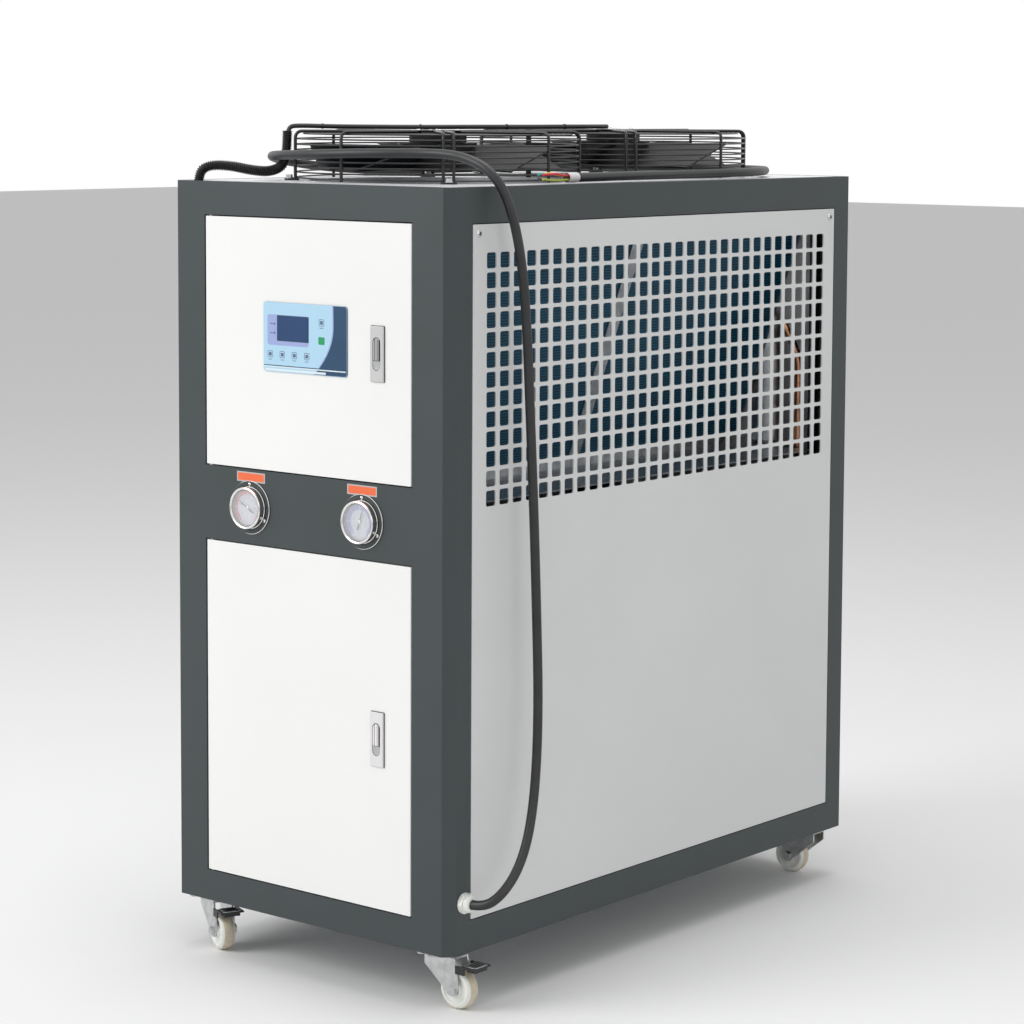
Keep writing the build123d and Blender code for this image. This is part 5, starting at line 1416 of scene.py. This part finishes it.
@dataclass
class FanGuard(Builder):
    """The two basket guards of round wire, on bolted feet.

    Attributes:
        places: middle of each fan along Y.
        radius: middle radius of the side rings.
        height: height over the roof.
        ring_wire: radius of the rings' wire.
        post_wire: radius of the upright wires.
        side_rings: rings round the side.
        first_ring: height of the lowest ring.
        side_pitch: distance between side rings.
        top_inset: from the side rings to the outermost top ring.
        top_drop: from the guard's top to the top rings.
        top_pitch: distance between top rings.
        hub_reach: smallest radius of a top ring.
        pair_gap: half the distance between paired wires.
        bend: radius where a wire turns over the rim.
        foot: width and length of a foot.
        foot_rise: thickness of a foot.
        plate: profile of the hub's plate.
        screw_circle: radius of the circle of screws on the plate.
    """

    places: tuple[float, float] = (-0.2205, 0.2205)
    radius: float = 0.215
    height: float = 0.077
    ring_wire: float = 0.0012
    post_wire: float = 0.0024
    side_rings: int = 8
    first_ring: float = 0.0045
    side_pitch: float = 0.0084
    top_inset: float = 0.010
    top_drop: float = 0.0060
    top_pitch: float = 0.0082
    hub_reach: float = 0.050
    pair_gap: float = 0.0077
    bend: float = 0.010
    foot: tuple[float, float] = (0.0225, 0.0230)
    foot_rise: float = 0.0030
    plate: Outline = (
        (0.0, 0.0), (0.0455, 0.0), (0.046, 0.0006), (0.046, 0.0019), (0.0452, 0.0025), (0.0, 0.0025),
    )
    screw_circle: float = 0.030

    def build(self) -> None:
        """Builds both guards as one piece, with their hub plates and bolts."""
        guard = Solid()
        for place in self.places:
            self._rings(guard, place)
            self._posts(guard, place)
            self._hub(guard, place)
        guard.piece("wire_guards", Body.CABINET, ["fan_guards"], smooth=50.0)

    def _ring(self, guard: Solid, place: float, radius: float, level: float) -> None:
        """Adds one level ring round the fan at a place along Y, at a height over the roof."""
        line = ring_line((0, place, ROOF + level), radius)
        guard.tube(line, self.ring_wire, Paint.WIRE, 6, closed=True)

    def _rings(self, guard: Solid, place: float) -> None:
        """Adds the level rings round the side and over the top.

        Args:
            guard: what they are added to.
            place: the fan's middle along Y.
        """
        for k in range(self.side_rings):
            self._ring(guard, place, self.radius + 0.0005, self.first_ring + self.side_pitch * k)
        reach = self.radius - self.top_inset
        while reach > self.hub_reach:
            self._ring(guard, place, reach, self.height - self.top_drop)
            reach -= self.top_pitch

    def _posts(self, guard: Solid, place: float) -> None:
        """Adds the upright wires, in pairs on feet at the corners and single between them.

        Args:
            guard: what they are added to.
            place: the fan's middle along Y.
        """
        for angle in (45, 135, 225, 315):
            for aside in (-self.pair_gap, self.pair_gap):
                self._post(guard, place, angle, aside)
            self._foot(guard, place, angle)
        for angle in (0, 90, 180, 270):
            self._post(guard, place, angle, 0.0)

    def _post(self, guard: Solid, place: float, angle: float, aside: float) -> None:
        """Adds one upright wire that turns over the rim and runs in to the hub.

        Args:
            guard: what it is added to.
            place: the fan's middle along Y.
            angle: its direction in degrees.
            aside: how far it lies beside that direction.
        """
        turn = Matrix.Translation((0, place, ROOF)) @ Matrix.Rotation(math.radians(angle), 4, "Z")
        edge, top = self.radius + 0.0026, self.height - self.post_wire
        rim = [
            (edge - self.bend + self.bend * math.sin(a), top - self.bend + self.bend * math.cos(a))
            for a in (math.pi / 2 * k / 6 for k in range(7))
        ]
        profile = [(0.040, top), (edge * 0.4, top), (edge * 0.7, top)] + rim + [(edge, 0.030), (edge, 0.001)]
        guard.tube([turn @ Vector((r, aside, z)) for r, z in profile], self.post_wire, Paint.WIRE, 8)

    def _foot(self, guard: Solid, place: float, angle: float) -> None:
        """Adds a foot: a folded plate, a washer and a bolt.

        Args:
            guard: what it is added to.
            place: the fan's middle along Y.
            angle: its direction in degrees.
        """
        turn = Matrix.Translation((0, place, ROOF)) @ Matrix.Rotation(math.radians(angle), 4, "Z")
        outline = rounded(*self.foot, 0.004, 4, (self.radius + 0.0080, 0))
        guard.prism(outline, turn, self.foot_rise, Paint.WIRE)
        seat = turn @ Matrix.Translation((self.radius + 0.0120, 0, self.foot_rise))
        washer = [(0.0070, 0.0), (0.0070, 0.0014), (0.0040, 0.0014)]
        guard.lathe(washer, seat, Paint.ZINC, 24)
        guard.prism(hexagon(0.0052), seat @ Matrix.Translation((0, 0, washer[-1][1])), 0.0042, Paint.ZINC)

    def _hub(self, guard: Solid, place: float) -> None:
        """Adds the plate that the motor hangs from, with its four screws.

        Args:
            guard: what it is added to.
            place: the fan's middle along Y.
        """
        thickness = self.plate[-1][1]
        seat = Matrix.Translation((0, place, ROOF + self.height - thickness))
        guard.lathe(self.plate, seat, Paint.WIRE, 64)
        for k in range(4):
            a = math.radians(45 + 90 * k)
            spot = (self.screw_circle * math.cos(a), self.screw_circle * math.sin(a), thickness)
            screw_head(guard, seat @ Matrix.Translation(spot), 0.0042, 0.0018, Paint.ZINC)


@dataclass
class Wiring(Builder):
    """The corrugated conduit, the fans' lead and the small ties that hold it.

    Attributes:
        pitch: length of one wave of the conduit.
        middle: the conduit's mean radius.
        wave: height of a wave.
        steepness: how square the waves are.
        lead_radius: radius of the lead.
        ties: where the ties sit, as shares of the lead.
        tie: profile of a tie.
    """

    pitch: float = 0.0029
    middle: float = 0.0071
    wave: float = 0.0009
    steepness: float = 2.2
    lead_radius: float = 0.0035
    ties: Sequence[float] = (0.10, 0.34, 0.60, 0.82)
    tie: Outline = ((0.0036, -0.0013), (0.0043, -0.0013), (0.0043, 0.0013), (0.0036, 0.0013))

    def build(self) -> None:
        """Builds conduit, lead and ties."""
        conduit = Solid()
        conduit.tube(dense(line_of(CONDUIT_POINTS), self.pitch / 6), self._reach, Paint.CONDUIT, 24)
        conduit.piece("corrugated_conduit", Body.CABINET, ["fan_conduit"], smooth=40.0)
        line = dense(line_of(LEAD_POINTS), 0.004)
        lead = Solid()
        lead.tube(line, self.lead_radius, Paint.RUBBER, 12)
        for share in self.ties:
            index = int(len(line) * share)
            band = facing(line[index], (line[index + 1] - line[index]).normalized())
            lead.lathe(self.tie, band, Paint.MOULDED, 16)
        lead.piece("fan_wiring", Body.CABINET, ["fan_lead"], smooth=50.0)

    def _reach(self, distance: float) -> float:
        """Works out the conduit's radius at a distance along it."""
        phase = 2 * math.pi * distance / self.pitch
        return self.middle + self.wave * math.tanh(self.steepness * math.sin(phase))


@dataclass
class PowerCord(Builder):
    """The thick rubber cord, its gland, the tape at its end and its four cores.

    Attributes:
        length: the cord's length, not used.
        tape: profile of the tape.
        core_radius: radius of a core.
        tip_rise: how much thicker a core's end is.
        tip_share: where a core's end begins, as a share of its length.
        cores: each core's finish, its end's finish, its place in the sheath and its bend and end.
        core_heights: how far along the core its four points lie.
        gland_up: height of the gland over the base.
        gland_inset: from the cabinet's front to the gland.
        collar: profile of the gland's washer.
        cap: profile of the gland's cap.
        ribbed: lowest and highest point of the cap's ribs.
        sleeve: profile of the sleeve inside the sheet.
    """

    length: float = 3.45
    tape: Outline = (
        (0.0068, 0.001), (0.0074, 0.001), (0.0077, -0.003), (0.0075, -0.012), (0.0078, -0.013),
        (0.0075, -0.024), (0.0070, -0.025),
    )
    core_radius: float = 0.0017
    tip_rise: float = 0.00002
    tip_share: float = 0.82
    cores: Sequence[tuple[Paint, Paint, Outline]] = (
        (Paint.CORE_RED, Paint.CORE_RED, ((0.003, 0.003), (0.008, 0.007), (0.004, 0.0045))),
        (Paint.CORE_YELLOW, Paint.CORE_TEAL, ((-0.003, 0.003), (-0.007, 0.008), (-0.004, 0.0045))),
        (Paint.CORE_GREEN, Paint.CORE_GREEN, ((0.003, -0.003), (0.0065, -0.0042), (0.004, -0.0015))),
        (Paint.RUBBER, Paint.RUBBER, ((-0.003, -0.003), (-0.008, -0.004), (-0.004, -0.0015))),
    )
    core_heights: Sequence[float] = (0.0, 0.013, 0.040, 0.066)
    gland_up: float = 0.0757
    gland_inset: float = 0.0323
    collar: Outline = ((0.0150, 0.0), (0.0152, 0.0010), (0.0152, 0.0016), (0.0090, 0.0016))
    cap: Outline = (
        (0.0118, 0.0070), (0.0121, 0.0078), (0.0121, 0.0120), (0.0112, 0.0146), (0.0094, 0.0160),
        (0.0071, 0.0162), (0.0071, 0.0100),
    )
    ribbed: tuple[float, float] = (0.0075, 0.013)
    sleeve: Outline = ((0.0090, 0.0), (0.0090, -0.012), (0.0072, -0.012))

    def build(self) -> None:
        """Builds the cord and what is on it."""
        cord = nurbs("power_cable", CORD_POINTS, CORD_RADIUS)
        cord.data.materials.append(PALETTE.get(Paint.RUBBER))
        settle(cord, Body.CABINET, ["power_cord"])
        tape, cores = self._tape(), self._cores()
        self._gland()

    def _frame(self) -> Matrix:
        """Finds the cord's end as a placing matrix with Z along the cord and Y up."""
        end, before = Vector(CORD_POINTS[-1]), Vector(CORD_POINTS[-2])
        return facing(end, end - before)

    def _tape(self) -> bpy.types.Object:
        """Builds the wrapped band at the sheath's end.

        Returns:
            The piece.
        """
        tape = Solid()
        tape.lathe(self.tape, self._frame(), Paint.TAPE, 32)
        return tape.piece("cord_tape", Body.CABINET)

    def _cores(self) -> bpy.types.Object:
        """Builds the four coloured cores, bent in loose curves.

        Returns:
            The piece.
        """
        place = self._frame()
        cores = Solid()
        for paint, tip, (root, bend, end) in self.cores:
            spots = [(*spot, height) for spot, height in zip((root, root, bend, end), self.core_heights)]
            line = line_of([place @ Vector(spot) for spot in spots])
            cut = int(len(line) * self.tip_share)
            cores.tube(line[:cut + 1], self.core_radius, paint, 12)
            cores.tube(line[cut:], self.core_radius + self.tip_rise, tip, 12)
        return cores.piece("cord_leads", Body.CABINET, ["cord_cores"])

    def _gland(self) -> None:
        """Builds the white cable gland: hexagon nut, ribbed cap and washer."""
        gland = Solid()
        place = facing((HALF_WIDTH, FRONT + self.gland_inset, BASE + self.gland_up), (1, 0, 0))
        gland.lathe(self.collar, place, Paint.NYLON, 40)
        gland.prism(hexagon(0.0156), place @ Matrix.Translation((0, 0, 0.0012)), 0.0062, Paint.NYLON)
        steps, rib = 48, 0.0004
        rows = []
        for radius, height in self.cap:
            rise = rib if self.ribbed[0] < height < self.ribbed[1] else 0.0
            row = []
            for k in range(steps):
                a = 2 * math.pi * k / steps
                reach = radius + (rise if k % 2 else 0.0)
                row.append(place @ Vector((reach * math.cos(a), reach * math.sin(a), height)))
            rows.append(row)
        gland.grid(rows, Paint.NYLON, around=True)
        gland.lathe(self.sleeve, place, Paint.NYLON, 32)
        gland.piece("cable_gland", Body.CABINET, ["cord_gland"], bevel=0.0004)


@dataclass
class CondenserCoil(Builder):
    """The two leaning coils, with coated fins and return bends.

    Attributes:
        lean: how far a coil leans from upright.
        thickness: thickness of a coil.
        length: length of a coil.
        low: height of its lower edge.
        high: height of its upper edge.
        top_across: place of its upper edge across the cabinet.
        middle_y: its middle along Y.
        bend_rows: return bends up each end.
        bend_margin: from the coil's edges to the first bend.
        bend_across: distance of a bend from the coil's middle plane.
        bend_reach: how far a bend stands out.
        bend_half: half the height of a bend.
        tube_radius: radius of the copper tube.
        end_gap: from the fins to the bends.
    """

    lean: float = math.radians(20)
    thickness: float = 0.034
    length: float = 0.814
    low: float = BASE + 0.668
    high: float = BASE + 1.062
    top_across: float = 0.236
    middle_y: float = FRONT + 0.939 - 0.407
    bend_rows: int = 7
    bend_margin: float = 0.030
    bend_across: float = 0.007
    bend_reach: float = 0.010
    bend_half: float = 0.0125
    tube_radius: float = 0.0042
    end_gap: float = 0.0022

    def build(self) -> None:
        """Builds both coils as one piece that stands for the CAD blocks."""
        coil = Solid()
        for side in (1, -1):
            self._coil(coil, side)
        coil.piece("finned_coils", Body.CABINET, ["condenser_coils"], smooth=30.0)

    def _coil(self, coil: Solid, side: int) -> None:
        """Adds one coil.

        Args:
            coil: what it is added to.
            side: 1 for the right coil and -1 for the left.
        """
        height = (self.high - self.low) / math.cos(self.lean) - self.thickness * math.tan(self.lean)
        run = (self.high - self.low) / 2 * math.tan(self.lean)
        middle = (side * (self.top_across - run), self.middle_y, (self.low + self.high) / 2)
        place = Matrix.Translation(middle) @ Matrix.Rotation(side * self.lean, 4, "Y")
        half_t, half_l, half_h = self.thickness / 2, self.length / 2, height / 2
        outline = [(-half_t, -half_l), (half_t, -half_l), (half_t, half_l), (-half_t, half_l)]
        coil.prism(outline, place @ Matrix.Translation((0, 0, -half_h)), height, Paint.FINS)
        step = (height - 2 * self.bend_margin) / (self.bend_rows - 1)
        for end in (-1, 1):
            for row in range(self.bend_rows):
                for x in (-self.bend_across, self.bend_across):
                    spot = (x, end * (half_l + self.end_gap), -half_h + self.bend_margin + row * step)
                    self._bend(coil, place @ Matrix.Translation(spot), end)

    def _bend(self, coil: Solid, place: Matrix, end: int) -> None:
        """Adds one copper return bend.

        Args:
            coil: what it is added to.
            place: its middle in the coil's frame.
            end: which end, -1 or 1.
        """
        points = [
            place @ Vector((0, end * self.bend_reach * math.sin(a), self.bend_half * math.cos(a)))
            for a in (math.pi * k / 8 for k in range(9))
        ]
        coil.tube(points, self.tube_radius, Paint.COPPER, 8)


@dataclass
class Castors(Builder):
    """The four castors' forks, wheels and pedals.

    Attributes:
        places: each castor's side across and along, its direction in degrees and whether it has a brake.
        across: distance of a castor from the cabinet's middle plane.
        along: its distance along Y.
        trail: from the swivel's axis to the wheel's.
        radius: radius of a wheel.
        half_width: half the width of a wheel.
        bore: radius of its bore.
        pedal_foot: place of a pedal's plated top.
        pedal_top: width and length of it.
        rib_pitch: distance between its ribs.
    """

    places: dict[str, tuple[int, int, float, bool]] = field(default_factory=lambda: {
        "front_right": (1, -1, 0.0, True), "front_left": (-1, -1, -24.0, True),
        "rear_right": (1, 1, 180.0, False), "rear_left": (-1, 1, 166.0, False),
    })
    across: float = 0.234
    along: float = 0.471
    trail: float = 0.028
    radius: float = 0.030
    half_width: float = 0.012
    bore: float = 0.00405
    pedal_foot: tuple[float, float, float] = (0.0465, 0, 0.0685)
    pedal_top: tuple[float, float] = (0.0235, 0.0300)
    rib_pitch: float = 0.0055

    def build(self) -> None:
        """Builds the wheels and the pedals' tops, and paints the CAD forks and pedals."""
        for name, (side, end, angle, braked) in self.places.items():
            axis = Matrix.Translation((side * self.across, end * self.along, 0))
            spot = axis @ Matrix.Rotation(math.radians(angle), 4, "Z")
            repaint(f"{name}_castor_fork", Paint.ZINC, 0.0007)
            self._wheel(name, spot)
            if braked:
                repaint(f"{name}_brake_pedal", Paint.MOULDED, 0.0006)
                self._pedal(name, spot)

    def _wheel(self, name: str, spot: Matrix) -> None:
        """Builds a moulded wheel: hub, web and rim in one piece with a crowned tread.

        Args:
            name: which castor.
            spot: the castor's frame, with the wheel trailing along X.
        """
        wheel = Solid()
        place = spot @ Matrix.Translation((self.trail, 0, self.radius)) @ Matrix.Rotation(math.pi / 2, 4, "X")
        half, crown_radius = self.half_width, 0.0075
        face = [
            (self.bore, -half - 0.001), (0.0100, -half - 0.001), (0.0108, -half), (0.0112, -half + 0.0026),
            (0.0195, -half + 0.0030), (0.0215, -half + 0.0006),
        ]
        crown = [
            (self.radius - crown_radius + crown_radius * math.cos(a), half * 0.99 * math.sin(a))
            for a in (math.radians(-78 + 156 * k / 12) for k in range(13))
        ]
        profile = face + crown + [(r, -h) for r, h in reversed(face)]
        half_paints = [Paint.ZINC] + [Paint.NYLON] * 8
        paints = half_paints + [Paint.TREAD] * 6 + half_paints[::-1]
        wheel.lathe(profile, place, paints, 64)
        wheel.piece(f"{name}_wheel_tyre", f"{name}_wheel", [f"{name}_castor_wheel"])

    def _pedal(self, name: str, spot: Matrix) -> None:
        """Adds the pedal's plated top with its pressed ribs.

        Args:
            name: which castor.
            spot: the castor's frame.
        """
        pedal = Solid()
        top = spot @ Matrix.Translation(self.pedal_foot)
        pedal.prism(rounded(*self.pedal_top, 0.004, 4, (0.0125, 0)), top, 0.0012, Paint.ZINC)
        for k in range(3):
            rib = rounded(0.0020, 0.0220, 0.0009, 2, (0.0075 + self.rib_pitch * k, 0))
            pedal.prism(rib, top, 0.0020, Paint.MOULDED)
        pedal.piece(f"{name}_pedal_top", f"{name}_pedal", bevel=0.0004)


@dataclass
class Studio(Builder):
    """Camera, floor and soft lights.

    Attributes:
        eye: where the camera stands.
        yaw: how far it looks to the left of straight ahead.
        pitch: how far it looks down.
        roll: how far it is turned about its axis.
        lens: its focal length in millimetres.
        sensor: width of its sensor in millimetres.
        shift: its vertical shift.
        floor_reach: half the floor's width.
        surround: strength of the white surroundings as a light.
        lamps: each lamp's name, place, width and power.
        aim: what the lamps point at.
    """

    eye: tuple[float, float, float] = (2.9054, -3.5778, 1.3002)
    yaw: float = math.radians(39.386)
    pitch: float = math.radians(5.232)
    roll: float = math.radians(0.278)
    lens: float = 101.63
    sensor: float = 36.0
    shift: float = -0.1387
    floor_reach: float = 30.0
    surround: float = 0.5
    lamps: Sequence[tuple[str, tuple[float, float, float], float, float]] = (
        ("key", (-2.6, -4.6, 3.4), 3.2, 150.0),
        ("fill", (4.6, -1.2, 2.2), 2.6, 20.0),
        ("top", (0.2, 0.4, 4.4), 3.0, 60.0),
    )
    aim: tuple[float, float, float] = (0.0, 0.0, 0.6)

    def build(self) -> None:
        """Builds the studio."""
        self._camera()
        self._floor()
        self._world()
        for lamp in self.lamps:
            self._light(*lamp)

    def _camera(self) -> None:
        """Stands the camera where the photograph was taken from."""
        level = math.cos(self.pitch)
        ahead = Vector((-math.sin(self.yaw) * level, math.cos(self.yaw) * level, -math.sin(self.pitch)))
        right = Vector((math.cos(self.yaw), math.sin(self.yaw), 0))
        up = right.cross(ahead)
        cos, sin = math.cos(self.roll), math.sin(self.roll)
        right, up = right * cos + up * sin, up * cos - right * sin
        data = bpy.data.cameras.new("camera")
        data.lens, data.sensor_width, data.shift_y = self.lens, self.sensor, self.shift
        camera = bpy.data.objects.new("camera", data)
        camera.matrix_world = Matrix.Translation(self.eye) @ Matrix((right, up, -ahead)).transposed().to_4x4()
        bpy.context.scene.collection.objects.link(camera)
        bpy.context.scene.camera = camera

    def _floor(self) -> None:
        """Lays a wide flat pale floor."""
        graph = MaterialGraph("studio_floor")
        graph.set(Base_Color=(*linear("#f7f7f7"), 1.0), Roughness=0.85)
        mesh = bpy.data.meshes.new("studio_floor")
        reach = self.floor_reach
        corners_of_floor = [(-reach, -reach, 0), (reach, -reach, 0), (reach, reach, 0), (-reach, reach, 0)]
        mesh.from_pydata(corners_of_floor, [], [(0, 1, 2, 3)])
        mesh.materials.append(graph.material)
        floor = bpy.data.objects.new("studio_floor", mesh)
        bpy.context.scene.collection.objects.link(floor)
        floor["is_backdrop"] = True

    def _world(self) -> None:
        """Surrounds the object with even light, which the camera, mirrors and glass see as pure white."""
        world = bpy.data.worlds.new("studio")
        world.use_nodes = True
        graph = NodeGraph(world.node_tree)
        background = graph.tree.nodes["Background"]
        background.inputs["Color"].default_value = (1.0, 1.0, 1.0, 1.0)
        rays = graph.add("ShaderNodeLightPath")
        seen = rays.outputs["Is Camera Ray"]
        for kind in ("Is Glossy Ray", "Is Transmission Ray"):
            either = graph.add("ShaderNodeMath", operation="ADD", use_clamp=True)
            graph.link(seen, either.inputs[0])
            graph.link(rays.outputs[kind], either.inputs[1])
            seen = either.outputs[0]
        scale = {1: 1.0 - self.surround, 2: self.surround}
        level = graph.add("ShaderNodeMath", scale, operation="MULTIPLY_ADD")
        graph.link(seen, level.inputs[0])
        graph.link(level.outputs[0], background.inputs["Strength"])
        bpy.context.scene.world = world
        bpy.context.scene.view_settings.view_transform = "Standard"

    def _light(self, name: str, place: tuple[float, float, float], size: float, power: float) -> None:
        """Adds a square soft light aimed at the object.

        Args:
            name: its name.
            place: where it stands.
            size: its width.
            power: its power in watts.
        """
        data = bpy.data.lights.new(name, "AREA")
        data.size, data.energy = size, power
        lamp = bpy.data.objects.new(name, data)
        lamp.location = place
        lamp.rotation_euler = (Vector(self.aim) - Vector(place)).to_track_quat("-Z", "Y").to_euler()
        bpy.context.scene.collection.objects.link(lamp)


def corners() -> list[list[float]]:
    """Measures the whole object's box and returns its lowest and highest corner as plain lists."""
    low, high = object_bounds()
    return [[float(value) for value in low], [float(value) for value in high]]


def main() -> None:
    """Builds the studio and every group of pieces."""
    logging.basicConfig(level=logging.INFO)
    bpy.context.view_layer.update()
    groups: list[Builder] = [
        Studio(),
        PowerCord(),
        Wiring(),
        Cabinet(),
        SidePanel(1),
        SidePanel(-1),
        Controller(),
        Gauge("high", -0.113, 151.0, Paint.DIAL_RED, 0.0052, Paint.DIAL_WHITE),
        Gauge("low", 0.113, 71.0, Paint.DIAL_BLUE, 0.0080, Paint.DIAL_WHITE),
        Latch("upper", BASE + 0.860),
        Latch("lower", BASE + 0.300),
        FanGuard(),
        CondenserCoil(),
        Castors(),
    ]
    for group in groups:
        LOG.info("building %s", type(group).__name__)
        group.build()


if __name__ == "__main__":
    main()
